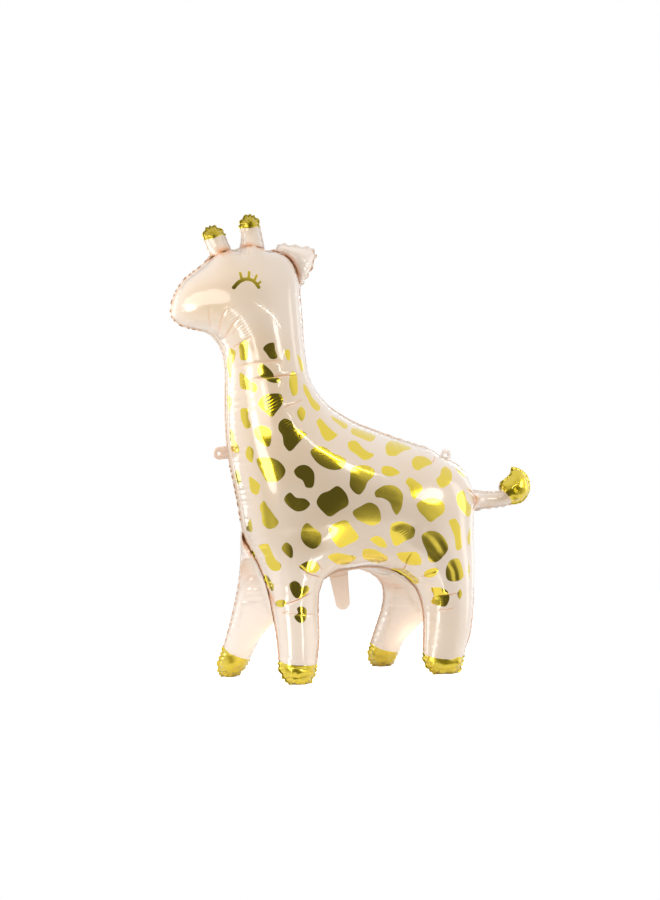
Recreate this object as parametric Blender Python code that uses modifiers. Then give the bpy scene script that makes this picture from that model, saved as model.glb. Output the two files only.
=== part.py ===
"""Giraffe foil balloon, standing on its four inflated legs.

The balloon is one heat-sealed envelope of metallised foil. Its two side panels have the same outline,
the giraffe in profile, and are sealed together along a narrow flat seam. Below the chest the seams part
and a gusset joins them, so the balloon has four legs. The figure looks towards -X, its near side is -Y,
and it stands on the floor at z = 0.

One half is modelled as an inflated panel: flat at the seam and swelling from there the way a film does
under pressure. That half is mirrored, the legs are set at their slight twist, and the soles are cut flat.
"""
import math

import bmesh
import bpy
import numpy as np
from mathutils import Vector
from mathutils.bvhtree import BVHTree
from mathutils.geometry import delaunay_2d_cdt

# Driving sizes, in metres
HEIGHT = 1.02
SEAM_WIDTH = 0.005
FOIL_THICKNESS = 0.0012

# The legs, in metres
HALF_STANCE = 0.115
CROTCH_RADIUS = 0.010
GUSSET_SAG = 0.011

# How each leg departs from the profile: where its foot stands, how far the leg bows on the way down,
# both in metres towards +X, and by what share it is slimmer
NEAR_FRONT_LEG = (0.033, 0.0, 0.0)
NEAR_REAR_LEG = (0.033, 0.0, 0.0)
FAR_FRONT_LEG = (-0.070, -0.009, 0.14)
FAR_REAR_LEG = (-0.040, -0.026, 0.22)

# Two flat ribbon tabs that are part of the foil, in metres
CHEST_TAB_WIDTH = 0.028
CHEST_TAB_LENGTH = 0.031
BACK_TAB_WIDTH = 0.024
BACK_TAB_LENGTH = 0.019
TAB_HOLE_DIAMETER = 0.007
TAB_HOLE_FROM_TIP = 0.012

# The filling valve, a flat tongue of film that hangs from the belly, in metres
VALVE_TOP_WIDTH = 0.044
VALVE_END_WIDTH = 0.032
VALVE_LENGTH = 0.088
VALVE_THICKNESS = 0.0012
VALVE_LEAN = 0.008
CLEARANCE = 0.0003

# How finely the foil is faceted, in metres
SMALL_STEP = 0.010
LARGE_STEP = 0.021
ROWS_FROM_SEAM = (0.0, 0.007, 0.020)
LATTICE = 0.027
HOLE_SIDES = 12
TAB_SIDES = 9

# The figure's pose, in thousandths of its height
SPLIT_HEIGHT = 325
STANCE_POWER = 1.0
FRONT_LEG_X = -180
REAR_LEG_X = 128
REAR_LEG_SLOPE = 0.36
FRONT_LEGS_END = -60
REAR_LEGS_START = 50
CHEST_TAB_AT = (-271, 491)
BACK_TAB_AT = (222, 464)
VALVE_X = -33

# The profile, anticlockwise, as smooth strokes that meet at corners: thousandths of the height
FACE = ((-293, 912), (-306, 898), (-329, 880), (-351, 863), (-369, 839), (-381, 811), (-382, 783),
        (-363, 763), (-331, 753), (-302, 744), (-286, 727), (-275, 704), (-271, 675), (-271, 634))
CHEST = ((-271, 634), (-273, 582), (-273, 534), (-271, 496), (-267, 463), (-259, 418), (-252, 375), (-247, 333))
FRONT_LEG = ((-247, 333), (-241, 302), (-231, 272), (-222, 240), (-217, 205), (-216, 170), (-217, 136),
             (-219, 100), (-224, 59), (-229, 31), (-221, 8), (-199, -7), (-172, -4), (-151, 20), (-138, 54),
             (-124, 97), (-115, 143), (-103, 185), (-88, 210))
BELLY = ((-88, 210), (-61, 223), (-26, 228), (20, 231), (51, 227), (80, 216))
REAR_LEG = ((80, 216), (102, 197), (113, 179), (117, 157), (116, 132), (107, 93), (95, 52), (90, 23), (104, 3),
            (132, -6), (162, -2), (177, 18), (191, 46), (208, 72), (228, 118), (248, 181), (266, 245), (278, 298))
RUMP = ((278, 298), (283, 322), (284, 342))
TAIL_UNDERSIDE = ((284, 342), (308, 344), (333, 346), (363, 349), (376, 352))
TUFT = ((376, 352), (390, 353), (402, 357), (413, 368), (420, 382), (421, 398), (415, 416), (403, 428),
        (391, 434), (377, 437))
TUFT_FRONT = ((377, 437), (376, 426), (369, 416), (357, 408), (348, 400), (346, 384))
TAIL_TOP = ((346, 384), (305, 386), (283, 390))
BACK = ((283, 390), (279, 402), (271, 421), (258, 440), (241, 453), (212, 467), (184, 485), (144, 499),
        (101, 514), (57, 531), (18, 547), (-15, 566), (-40, 584), (-58, 603), (-71, 622), (-83, 650),
        (-89, 689), (-92, 728), (-93, 770), (-95, 810), (-96, 838))
EAR = ((-96, 838), (-86, 852), (-71, 875), (-62, 895), (-57, 913), (-66, 927), (-86, 931), (-111, 934),
       (-138, 936), (-149, 926))
CROWN = ((-149, 926), (-160, 923), (-171, 923))
REAR_HORN = ((-171, 923), (-173, 938), (-178, 966), (-185, 991), (-201, 1000), (-217, 995), (-226, 977),
             (-223, 953), (-227, 929))
BETWEEN_HORNS = ((-227, 929), (-237, 925), (-245, 925))
FRONT_HORN = ((-245, 925), (-252, 941), (-262, 965), (-281, 976), (-302, 968), (-306, 951), (-301, 932), (-293, 912))
EAR_CREASE = ((-147, 918), (-129, 910), (-115, 896), (-106, 875), (-100, 852))

STROKES = ((FACE, LARGE_STEP), (CHEST, LARGE_STEP), (FRONT_LEG, LARGE_STEP), (BELLY, LARGE_STEP),
           (REAR_LEG, LARGE_STEP), (RUMP, LARGE_STEP), (TAIL_UNDERSIDE, SMALL_STEP), (TUFT, SMALL_STEP),
           (TUFT_FRONT, SMALL_STEP), (TAIL_TOP, SMALL_STEP), (BACK, LARGE_STEP), (EAR, SMALL_STEP),
           (CROWN, SMALL_STEP), (REAR_HORN, SMALL_STEP), (BETWEEN_HORNS, SMALL_STEP), (FRONT_HORN, SMALL_STEP))

FOIL_COLOUR = (0.80, 0.62, 0.50, 1.0)
VALVE_COLOUR = (0.82, 0.66, 0.56, 1.0)


def from_share(points):
    """Turns thousandths of the height into metres."""
    return np.array(points, dtype=float) * HEIGHT / 1000.0


def smooth_run(points, step):
    """A smooth curve through the points, as points one step apart with both ends included."""
    gaps = np.linalg.norm(np.diff(points, axis=0), axis=1)
    at = np.concatenate(([0.0], np.cumsum(gaps)))
    slopes = np.gradient(points, at, axis=0)
    fine = []
    for i, gap in enumerate(gaps):
        s = np.linspace(0.0, 1.0, 16, endpoint=False)[:, None]
        near, far = points[i], points[i + 1]
        fine.append((2 * s**3 - 3 * s**2 + 1) * near + (s**3 - 2 * s**2 + s) * gap * slopes[i]
                    + (3 * s**2 - 2 * s**3) * far + (s**3 - s**2) * gap * slopes[i + 1])
    fine = np.concatenate(fine + [points[-1:]])
    run = np.concatenate(([0.0], np.cumsum(np.linalg.norm(np.diff(fine, axis=0), axis=1))))
    stations = np.linspace(0.0, run[-1], max(2, round(run[-1] / step)) + 1)
    return np.stack([np.interp(stations, run, fine[:, k]) for k in (0, 1)], axis=1)


def profile():
    """The giraffe's closed outline without its tabs."""
    return np.concatenate([smooth_run(from_share(points), step)[:-1] for points, step in STROKES])


def outward_normals(loop):
    """Unit normals that point out of an anticlockwise loop."""
    along = np.roll(loop, -1, axis=0) - np.roll(loop, 1, axis=0)
    along /= np.linalg.norm(along, axis=1, keepdims=True)
    return np.stack([along[:, 1], -along[:, 0]], axis=1)


def distance_to(points, loop):
    """The distance of each point from a closed loop of straight edges."""
    start, edge = loop, np.roll(loop, -1, axis=0) - loop
    from_start = points[:, None, :] - start[None]
    share = np.clip((from_start * edge).sum(2) / (edge * edge).sum(1), 0.0, 1.0)
    return np.linalg.norm(from_start - share[..., None] * edge, axis=2).min(axis=1)


def inside(points, loop):
    """Which points lie inside a closed loop."""
    x, z = points[:, :1], points[:, 1:]
    ax, az = loop[:, 0], loop[:, 1]
    bx, bz = np.roll(ax, -1), np.roll(az, -1)
    spans = (az > z) != (bz > z)
    rise = np.where(bz == az, 1.0, bz - az)
    return (spans & (x < ax + (z - az) * (bx - ax) / rise)).sum(axis=1) % 2 == 1


def nearest_on(loop, at):
    """The point of a closed loop nearest to a place, the edge it lies on and that edge's outward normal."""
    edge = np.roll(loop, -1, axis=0) - loop
    share = np.clip(((at - loop) * edge).sum(1) / (edge * edge).sum(1), 0.0, 1.0)
    foot = loop + share[:, None] * edge
    i = np.argmin(np.linalg.norm(foot - at, axis=1))
    return foot[i], i, np.array([edge[i, 1], -edge[i, 0]]) / np.linalg.norm(edge[i])


def add_tab(loop, at, width, length):
    """Lets a round-ended tab stand out of the loop, and returns the new loop and the tab's hole."""
    base, edge, out = nearest_on(loop, at)
    loop = np.roll(loop, -edge - 1, axis=0)
    along = np.array([-out[1], out[0]])
    radius = width / 2
    under_tab = np.abs((loop - base) @ along) < radius + SEAM_WIDTH / 2
    under_tab &= np.linalg.norm(loop - base, axis=1) < 2 * width
    turns = np.linspace(-math.pi / 2, math.pi / 2, TAB_SIDES)
    tip = base + out * (length - radius)
    arc = tip + radius * (np.cos(turns)[:, None] * out + np.sin(turns)[:, None] * along)
    tab = np.concatenate([[base - radius * along], arc, [base + radius * along]])
    turns = np.arange(HOLE_SIDES) * 2 * math.pi / HOLE_SIDES
    centre = base + out * (length - TAB_HOLE_FROM_TIP)
    hole = centre + TAB_HOLE_DIAMETER / 2 * np.stack([np.cos(turns), np.sin(turns)], axis=1)
    return np.concatenate([loop[~under_tab], tab]), hole


def panel_points(body, crease):
    """Rows of points inside the outline, a lattice between them, and the points of the crease."""
    points = [crease]
    for row in ROWS_FROM_SEAM:
        inset = SEAM_WIDTH + row
        moved = body - inset * outward_normals(body)
        points.append(moved[inside(moved, body) & (distance_to(moved, body) > 0.97 * inset)])
    low, high = body.min(axis=0), body.max(axis=0)
    x, z = np.meshgrid(np.arange(low[0], high[0], LATTICE), np.arange(low[1], high[1], LATTICE * math.sqrt(0.75)))
    x[1::2] += LATTICE / 2
    grid = np.stack([x.ravel(), z.ravel()], axis=1)
    grid = grid[inside(grid, body)]
    last_row = SEAM_WIDTH + ROWS_FROM_SEAM[-1]
    points.append(grid[distance_to(grid, body) > last_row + LATTICE / 2])
    kept = points[0]
    for row in points[1:]:
        gaps = np.linalg.norm(row[:, None] - kept[None], axis=2).min(axis=1)
        kept = np.concatenate([kept, row[gaps > SMALL_STEP / 3]])
    return kept


def triangulate(outline, holes, extra, crease_count):
    """Triangles over the outline and its holes, and the loops of points that bound them."""
    loops, edges, points = [], [], []
    for loop in (outline, *holes):
        first = len(points)
        order = np.arange(first, first + len(loop))
        loops.append(order[::-1] if loops else order)
        edges += [(first + i, first + (i + 1) % len(loop)) for i in range(len(loop))]
        points += list(loop)
    first = len(points)
    edges += [(first + i, first + i + 1) for i in range(crease_count - 1)]
    points += list(extra)
    result = delaunay_2d_cdt([Vector(p) for p in points], edges, [], 0, 1e-6)
    flat = np.array([tuple(v) for v in result[0]])
    faces = np.array(result[2])
    middle = flat[faces].mean(axis=1)
    keep = inside(middle, outline)
    for hole in holes:
        keep &= ~inside(middle, hole)
    return flat, faces[keep], loops


def film_height(flat, faces, fixed):
    """Half the thickness of the inflated panel: a film under pressure that is held at the fixed points."""
    corners = flat[faces]
    opposite = np.roll(corners, -1, axis=1) - np.roll(corners, -2, axis=1)
    area = 0.5 * np.abs(opposite[:, 0, 0] * opposite[:, 1, 1] - opposite[:, 0, 1] * opposite[:, 1, 0])
    stiffness = np.zeros((len(flat), len(flat)))
    load = np.zeros(len(flat))
    for i in range(3):
        np.add.at(load, faces[:, i], area / 3)
        for j in range(3):
            np.add.at(stiffness, (faces[:, i], faces[:, j]), (opposite[:, i] * opposite[:, j]).sum(1) / (4 * area))
    free = np.flatnonzero(~fixed & (load > 0))
    height = np.zeros(len(flat))
    height[free] = np.linalg.solve(stiffness[np.ix_(free, free)], load[free])
    return np.sqrt((FOIL_THICKNESS / 2) ** 2 + 2 * np.maximum(height, 0.0))


def leg_share(z):
    """How far down its leg a height lies: 0 where the panels part, 1 at the floor."""
    split = SPLIT_HEIGHT * HEIGHT / 1000.0
    return np.clip((split - z) / split, 0.0, 1.1)


def stance(z):
    """How far the middle of a side panel stands from the mirror plane."""
    return HALF_STANCE * leg_share(z) ** STANCE_POWER


def gusset_side(gap):
    """Rounds the inner side of a leg where it would meet its mirror image."""
    radius = CROTCH_RADIUS
    apart = np.sqrt(np.maximum(gap**2 - radius**2, 0.0))
    merged = np.where(gap > 0, -np.sqrt(np.maximum(radius**2 - gap**2, 0.0)), gap - radius)
    return np.where(gap > radius, apart, merged)


def near_half(flat, faces, loops, half_thickness):
    """The near side panel, its inner side and the cut edge between them, as one closed mesh."""
    x, z = flat[:, 0], flat[:, 1]
    middle = stance(z)
    outer = np.stack([x, -(middle + half_thickness), z], axis=1)
    inner = np.stack([x, -gusset_side(middle - half_thickness), z], axis=1)
    count = len(flat)
    all_faces = [tuple(f) for f in faces] + [tuple(f[::-1] + count) for f in faces]
    for loop in loops:
        all_faces += [(b, a, a + count, b + count) for a, b in zip(loop, np.roll(loop, -1))]
    mesh = bpy.data.meshes.new("panel")
    mesh.from_pydata([tuple(p) for p in np.concatenate([outer, inner])], [], all_faces)
    return mesh


def mirrored(mesh):
    """Cuts the half at the mirror plane, mirrors it and returns the joined mesh."""
    half = bpy.data.objects.new("panel", mesh)
    bpy.context.scene.collection.objects.link(half)
    mirror = half.modifiers.new("Mirror", "MIRROR")
    mirror.use_axis = (False, True, False)
    mirror.use_bisect_axis = (False, True, False)
    mirror.use_bisect_flip_axis = (False, True, False)
    mirror.merge_threshold = 0.00005
    mirror.bisect_threshold = 0.00001
    both = bpy.data.meshes.new_from_object(half.evaluated_get(bpy.context.evaluated_depsgraph_get()))
    bpy.data.objects.remove(half)
    return both


def smooth_step(value):
    """Eases from 0 to 1 as the value does."""
    value = max(0.0, min(1.0, value))
    return value * value * (3.0 - 2.0 * value)


def set_legs(co):
    """Moves one point of the mirrored form: the gusset sags, and each leg takes its own stance."""
    x, y, z = co
    down = float(leg_share(z))
    apart = float(stance(z))
    if apart <= 0.0:
        return co
    side = max(-1.0, min(1.0, y / (0.6 * apart)))
    unit = HEIGHT / 1000.0
    rear = smooth_step((x / unit - FRONT_LEGS_END) / (REAR_LEGS_START - FRONT_LEGS_END))
    legs = (NEAR_FRONT_LEG, NEAR_REAR_LEG) if side < 0.0 else (FAR_FRONT_LEG, FAR_REAR_LEG)
    foot, bow, slimness = [(1.0 - rear) * front + rear * back for front, back in zip(*legs)]
    slimness *= abs(side) * smooth_step((down - 0.25) / 0.35)
    middle = (1.0 - rear) * FRONT_LEG_X * unit + rear * (REAR_LEG_X * unit + REAR_LEG_SLOPE * z)
    x = middle + (x - middle) * (1.0 - slimness)
    x += abs(side) * (foot * down**STANCE_POWER + bow * math.sin(math.pi * min(down, 1.0)))
    if abs(y) < apart:
        z -= GUSSET_SAG * (1.0 - (y / apart) ** 2)
    return Vector((x, y, z))


def envelope_mesh():
    """The whole foil envelope."""
    body = profile()
    crease = smooth_run(from_share(EAR_CREASE), SMALL_STEP)
    outline, chest_hole = add_tab(body, from_share(CHEST_TAB_AT), CHEST_TAB_WIDTH, CHEST_TAB_LENGTH)
    outline, back_hole = add_tab(outline, from_share(BACK_TAB_AT), BACK_TAB_WIDTH, BACK_TAB_LENGTH)
    extra = panel_points(body, crease)
    flat, faces, loops = triangulate(outline, (chest_hole, back_hole), extra, len(crease))
    inflated = inside(flat, body) & (distance_to(flat, body) > 1.02 * SEAM_WIDTH)
    on_crease = np.linalg.norm(flat[:, None] - crease[None], axis=2).min(axis=1) < 1e-5
    half_thickness = film_height(flat, faces, ~inflated | on_crease)
    both = mirrored(near_half(flat, faces, loops, half_thickness))
    shaped = bmesh.new()
    shaped.from_mesh(both)
    bmesh.ops.remove_doubles(shaped, verts=shaped.verts, dist=0.00002)
    for vert in shaped.verts:
        vert.co = set_legs(vert.co)
    cut = bmesh.ops.bisect_plane(shaped, geom=shaped.verts[:] + shaped.edges[:] + shaped.faces[:],
                                 plane_co=(0, 0, 0), plane_no=(0, 0, -1), clear_outer=True, dist=0.00002)
    rim = [e for e in cut["geom_cut"] if isinstance(e, bmesh.types.BMEdge)]
    bmesh.ops.edgeloop_fill(shaped, edges=rim)
    bmesh.ops.triangulate(shaped, faces=shaped.faces)
    bmesh.ops.recalc_face_normals(shaped, faces=shaped.faces)
    mesh = bpy.data.meshes.new("balloon_envelope")
    shaped.to_mesh(mesh)
    shaped.free()
    return mesh


def centre_over_origin(envelope, others):
    """Moves the parts along X so that the envelope's box stands centred over the origin."""
    reach = [v.co.x for v in envelope.vertices]
    shift = -(min(reach) + max(reach)) / 2
    for mesh in (envelope, *others):
        for vert in mesh.vertices:
            vert.co.x += shift


def valve_mesh(envelope):
    """The filling valve: a flat tongue whose top follows the belly just below it."""
    tree = BVHTree.FromPolygons([v.co for v in envelope.vertices], [p.vertices for p in envelope.polygons])
    top_x = VALVE_X * HEIGHT / 1000.0
    top = []
    for x in np.linspace(top_x + VALVE_TOP_WIDTH / 2, top_x - VALVE_TOP_WIDTH / 2, 7):
        hits = [tree.ray_cast(Vector((x, y, 0.01)), Vector((0, 0, 1)))[0].z for y in (-0.001, 0.0, 0.001)]
        top.append((x, min(hits) - CLEARANCE))
    low = top[0][1] - VALVE_LENGTH
    radius = VALVE_END_WIDTH / 2
    turns = np.linspace(math.pi, 2 * math.pi, 9)
    end = [(top_x + VALVE_LEAN + radius * math.cos(a), low + radius + radius * math.sin(a)) for a in turns]
    outline = top + end
    shape = bmesh.new()
    verts = [shape.verts.new((x, -VALVE_THICKNESS / 2, z)) for x, z in outline]
    face = shape.faces.new(verts)
    moved = bmesh.ops.extrude_face_region(shape, geom=[face])
    for item in moved["geom"]:
        if isinstance(item, bmesh.types.BMVert):
            item.co.y += VALVE_THICKNESS
    bmesh.ops.triangulate(shape, faces=shape.faces)
    bmesh.ops.recalc_face_normals(shape, faces=shape.faces)
    mesh = bpy.data.meshes.new("filling_valve")
    shape.to_mesh(mesh)
    shape.free()
    return mesh


def material(name, colour, roughness, metallic):
    """A plain finish for one sub-part."""
    finish = bpy.data.materials.new(name)
    finish.use_nodes = True
    shader = finish.node_tree.nodes["Principled BSDF"]
    shader.inputs["Base Color"].default_value = colour
    shader.inputs["Roughness"].default_value = roughness
    shader.inputs["Metallic"].default_value = metallic
    return finish


def place(name, mesh, finish, collection):
    """Makes a sub-part's object with its finish."""
    part = bpy.data.objects.new(name, mesh)
    mesh.materials.append(finish)
    mesh.shade_smooth()
    mesh.set_sharp_from_angle(angle=math.radians(50))
    collection.objects.link(part)
    return part


def main():
    for old in list(bpy.data.objects):
        bpy.data.objects.remove(old)
    collection = bpy.data.collections.new("giraffe_foil_balloon")
    bpy.context.scene.collection.children.link(collection)
    envelope = envelope_mesh()
    valve = valve_mesh(envelope)
    centre_over_origin(envelope, [valve])
    place("balloon_envelope", envelope, material("cream_foil", FOIL_COLOUR, 0.2, 0.5), collection)
    place("filling_valve", valve, material("valve_film", VALVE_COLOUR, 0.4, 0.0), collection)


main()
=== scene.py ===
"""Looks of the giraffe foil balloon: a glossy cream skin with gold print, and its filling valve.

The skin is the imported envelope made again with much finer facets, so that it carries the puckers along the
seams, the creases where the balloon bends, the crumpled tips and the sharp edges of the print. Lengths are
in metres. The profile is in thousandths of the height. Places of the print and of the creases are points of
the 660 by 900 picture, and the sight lines of the camera bring them onto the skin.
"""
import math

import bmesh
import bpy
import numpy as np
from mathutils import Matrix, Vector, noise
from mathutils.bvhtree import BVHTree
from mathutils.geometry import delaunay_2d_cdt
from mathutils.kdtree import KDTree


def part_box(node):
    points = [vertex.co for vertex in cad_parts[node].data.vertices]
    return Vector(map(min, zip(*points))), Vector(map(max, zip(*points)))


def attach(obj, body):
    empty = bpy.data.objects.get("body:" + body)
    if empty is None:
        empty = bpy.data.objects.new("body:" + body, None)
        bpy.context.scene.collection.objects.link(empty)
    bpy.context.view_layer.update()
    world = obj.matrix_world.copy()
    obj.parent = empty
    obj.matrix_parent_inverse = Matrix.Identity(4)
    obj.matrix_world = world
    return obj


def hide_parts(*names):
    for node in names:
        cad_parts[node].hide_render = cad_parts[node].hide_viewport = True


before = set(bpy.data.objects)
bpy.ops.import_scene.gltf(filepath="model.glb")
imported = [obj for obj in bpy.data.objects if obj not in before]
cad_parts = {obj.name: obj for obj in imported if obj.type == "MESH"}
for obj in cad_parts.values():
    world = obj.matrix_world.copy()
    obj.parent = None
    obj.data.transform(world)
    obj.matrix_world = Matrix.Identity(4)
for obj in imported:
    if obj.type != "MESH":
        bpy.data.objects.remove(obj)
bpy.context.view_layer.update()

# Driving sizes, in metres
HEIGHT = 1.02
SEAM_WIDTH = 0.005
FOIL_THICKNESS = 0.0012
HALF_STANCE = 0.115
CROTCH_RADIUS = 0.010
GUSSET_SAG = 0.011

# How each leg departs from the profile: foot shift and bow in metres towards +X, and share slimmer
NEAR_FRONT_LEG = (0.033, 0.0, 0.0)
NEAR_REAR_LEG = (0.033, 0.0, 0.0)
FAR_FRONT_LEG = (-0.070, -0.009, 0.14)
FAR_REAR_LEG = (-0.040, -0.026, 0.22)

# The two ribbon tabs and the valve, in metres
CHEST_TAB_WIDTH = 0.028
CHEST_TAB_LENGTH = 0.031
BACK_TAB_WIDTH = 0.024
BACK_TAB_LENGTH = 0.019
TAB_HOLE_DIAMETER = 0.007
TAB_HOLE_FROM_TIP = 0.012
VALVE_END_WIDTH = 0.032
VALVE_LENGTH = 0.088
VALVE_THICKNESS = 0.0012
VALVE_LEAN = 0.008
VALVE_WELD = 0.0025
VALVE_CURL = 0.0012
VALVE_COLUMNS = 25
VALVE_ROWS = 45

# The figure's pose, in thousandths of its height
SPLIT_HEIGHT = 325
SPLIT_EASING = 0.15
FRONT_LEG_X = -180
REAR_LEG_X = 128
REAR_LEG_SLOPE = 0.36
SLIMMER_FROM = 0.25
SLIMMER_EASING = 0.35
FRONT_LEGS_END = -60
REAR_LEGS_START = 50
CHEST_TAB_AT = (-271, 491)
BACK_TAB_AT = (222, 464)

# How finely the skin is faceted, in metres
SEAM_STEP = 0.0026
SKIN_STEP = 0.0044
PRINT_STEP = 0.0030
EYE_STEP = 0.0015
CREASE_STEP = 0.0026
CREASE_ROWS = (0.0, 0.0014, -0.0014, 0.0032, -0.0032)
ROWS_FROM_EDGE = (0.0025, 0.0050, 0.0062, 0.0080, 0.0104, 0.0134, 0.0170, 0.0208)
HOLE_SIDES = 28
TAB_SIDES = 25

# The camera: angles in degrees, and metres for its distance, its aim and one picture point at the aim
CAMERA_YAW = 16.0
CAMERA_PITCH = 0.28
CAMERA_ROLL = 2.1
CAMERA_DISTANCE = 4.0637
CAMERA_AIM = (-0.06175, 0.0, 0.4978)
POINT_SIZE = 0.0022147
PICTURE_WIDTH = 660
PICTURE_HEIGHT = 900

# The profile, anticlockwise, as smooth strokes that meet at corners: thousandths of the height
FACE = ((-293, 912), (-306, 898), (-329, 880), (-351, 863), (-369, 839), (-381, 811), (-382, 783),
        (-363, 763), (-331, 753), (-302, 744), (-286, 727), (-275, 704), (-271, 675), (-271, 634))
CHEST = ((-271, 634), (-273, 582), (-273, 534), (-271, 496), (-267, 463), (-259, 418), (-252, 375),
         (-247, 333))
FRONT_LEG = ((-247, 333), (-241, 302), (-231, 272), (-222, 240), (-217, 205), (-216, 170), (-217, 136),
             (-219, 100), (-224, 59), (-229, 31), (-221, 8), (-199, -7), (-172, -4), (-151, 20), (-138, 54),
             (-124, 97), (-115, 143), (-103, 185), (-88, 210))
BELLY = ((-88, 210), (-61, 223), (-26, 228), (20, 231), (51, 227), (80, 216))
REAR_LEG = ((80, 216), (102, 197), (113, 179), (117, 157), (116, 132), (107, 93), (95, 52), (90, 23),
            (104, 3), (132, -6), (162, -2), (177, 18), (191, 46), (208, 72), (228, 118), (248, 181),
            (266, 245), (278, 298))
RUMP = ((278, 298), (283, 322), (284, 342))
TAIL_UNDERSIDE = ((284, 342), (308, 344), (333, 346), (363, 349), (376, 352))
TUFT = ((376, 352), (390, 353), (402, 357), (413, 368), (420, 382), (421, 398), (415, 416), (403, 428),
        (391, 434), (377, 437))
TUFT_FRONT = ((377, 437), (376, 426), (369, 416), (357, 408), (348, 400), (346, 384))
TAIL_TOP = ((346, 384), (305, 386), (283, 390))
BACK = ((283, 390), (279, 402), (271, 421), (258, 440), (241, 453), (212, 467), (184, 485), (144, 499),
        (101, 514), (57, 531), (18, 547), (-15, 566), (-40, 584), (-58, 603), (-71, 622), (-83, 650),
        (-89, 689), (-92, 728), (-93, 770), (-95, 810), (-96, 838))
EAR = ((-96, 838), (-86, 852), (-71, 875), (-62, 895), (-57, 913), (-66, 927), (-86, 931), (-111, 934),
       (-138, 936), (-149, 926))
CROWN = ((-149, 926), (-160, 923), (-171, 923))
REAR_HORN = ((-171, 923), (-173, 938), (-178, 966), (-185, 991), (-201, 1000), (-217, 995), (-226, 977),
             (-223, 953), (-227, 929))
BETWEEN_HORNS = ((-227, 929), (-237, 925), (-245, 925))
FRONT_HORN = ((-245, 925), (-252, 941), (-262, 965), (-281, 976), (-302, 968), (-306, 951), (-301, 932),
              (-293, 912))
EAR_CREASE = ((-147, 918), (-129, 910), (-115, 896), (-106, 875), (-100, 852))
STROKES = (FACE, CHEST, FRONT_LEG, BELLY, REAR_LEG, RUMP, TAIL_UNDERSIDE, TUFT, TUFT_FRONT, TAIL_TOP, BACK,
           EAR, CROWN, REAR_HORN, BETWEEN_HORNS, FRONT_HORN)

# Gold spots, each a few points round its edge, in picture points
NECK_SPOTS = (
    ((263, 349), (267, 344), (274, 343), (275, 349), (277, 358), (271, 359), (266, 353)),
    ((230, 348), (233, 349), (232, 368), (230.5, 384), (228, 373), (227.5, 354)),
    ((241, 342), (247, 340.5), (248, 350), (247, 360), (241, 360), (239.5, 354)),
    ((285.5, 350), (288, 349), (290.5, 355), (289, 361.5), (286, 358)),
    ((297, 353.5), (300, 358), (303, 370), (302, 372.5), (298.5, 363)),
    ((257.5, 369), (261, 363.5), (266, 366), (273.5, 377), (267, 379), (261, 377)),
    ((265.5, 380), (272.5, 378), (278, 377.5), (281, 381.5), (276.5, 383), (270, 382)),
    ((240.5, 372), (244, 375), (250, 381), (255.5, 384), (257, 389), (255, 392.5), (249.5, 390), (242, 389),
     (239.5, 381)),
    ((292.5, 371), (295.5, 373), (297.5, 384), (296, 395), (293, 396), (290.5, 391), (289.5, 378)),
    ((303.5, 383.5), (307, 388), (311.5, 397), (320, 408), (318.5, 411), (313.5, 409), (307.5, 399),
     (303, 389)),
    ((228.5, 395), (231.5, 398), (230, 408), (228.5, 414), (227.5, 405)),
    ((258, 403.5), (263, 396), (272.5, 393.5), (281.5, 395), (283, 400), (276.5, 412), (271.5, 417),
     (266, 413)),
)
SHOULDER_SPOTS = (
    ((241, 408.5), (246, 408), (248, 418), (250, 427.5), (247, 429), (243, 424), (240.5, 414)),
    ((301.5, 406.5), (305, 410.5), (304.5, 418), (302, 421.5), (298.5, 418), (297, 411.5)),
    ((255, 427.5), (262, 425.5), (271, 430.5), (271.5, 436), (268, 447), (261, 443), (254.5, 435.5)),
    ((279.5, 422), (285, 418.5), (291, 421), (295.5, 427.5), (302.5, 431), (307, 434.5), (303, 438),
     (298.5, 443), (289, 451), (284.5, 446), (282, 435), (278.5, 429.5)),
    ((319, 418.5), (327, 425.5), (332, 430.5), (337.5, 435), (334, 438.5), (326.5, 441), (322, 436),
     (319, 428.5), (316.5, 421.5)),
    ((329.5, 415.5), (336, 418), (348, 426), (344.5, 429), (337.5, 424), (332, 419.5)),
    ((230, 428.5), (233, 431.5), (235, 440), (239, 449), (238.5, 453), (234.5, 452.5), (231.5, 443),
     (229, 433.5)),
    ((249, 446), (252, 448), (253, 458), (251.5, 463), (248, 460), (245.5, 453.5)),
    ((257.5, 458), (266, 457), (275, 459), (282, 464), (285.5, 471), (280.5, 479.5), (273, 482.5),
     (268.5, 482), (261, 472)),
    ((310.5, 451), (316.5, 446), (325.5, 447.5), (333, 453), (341.5, 456.5), (346, 460.5), (343.5, 467.5),
     (334, 470), (323.5, 467), (316, 461.5)),
    ((236, 468.5), (239, 473), (240, 482), (238.5, 486), (235.5, 479.5), (234.5, 473)),
    ((249.5, 476.5), (255, 480), (259.5, 484.5), (255.5, 495), (252, 493), (249, 484)),
    ((294, 471.5), (298.5, 466), (305.5, 465), (313, 470.5), (314.5, 479.5), (312, 487.5), (306.5, 487.5),
     (302.5, 480.5), (296, 476)),
    ((284, 499.5), (290, 492.5), (296, 497.5), (305.5, 499), (310, 504), (305.5, 509.5), (297.5, 511.5),
     (290.5, 508), (286, 503.5)),
    ((263.5, 500.5), (267.5, 506), (274.5, 516), (278.5, 523), (275.5, 527), (268.5, 529), (263.5, 525.5),
     (261.5, 515), (260, 505)),
    ((249.5, 517.5), (252, 524.5), (251, 532), (247.5, 531), (247.5, 523)),
    ((287.5, 542.5), (291.5, 545), (292, 558.5), (286, 554), (282.5, 548.5)),
    ((260, 545), (268.5, 544), (271.5, 549.5), (275.5, 558.5), (282, 565.5), (280, 570.5), (273, 571),
     (268, 565.5), (264.5, 555.5)),
    ((253, 550), (256, 554), (255, 559), (252.5, 555)),
)
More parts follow.
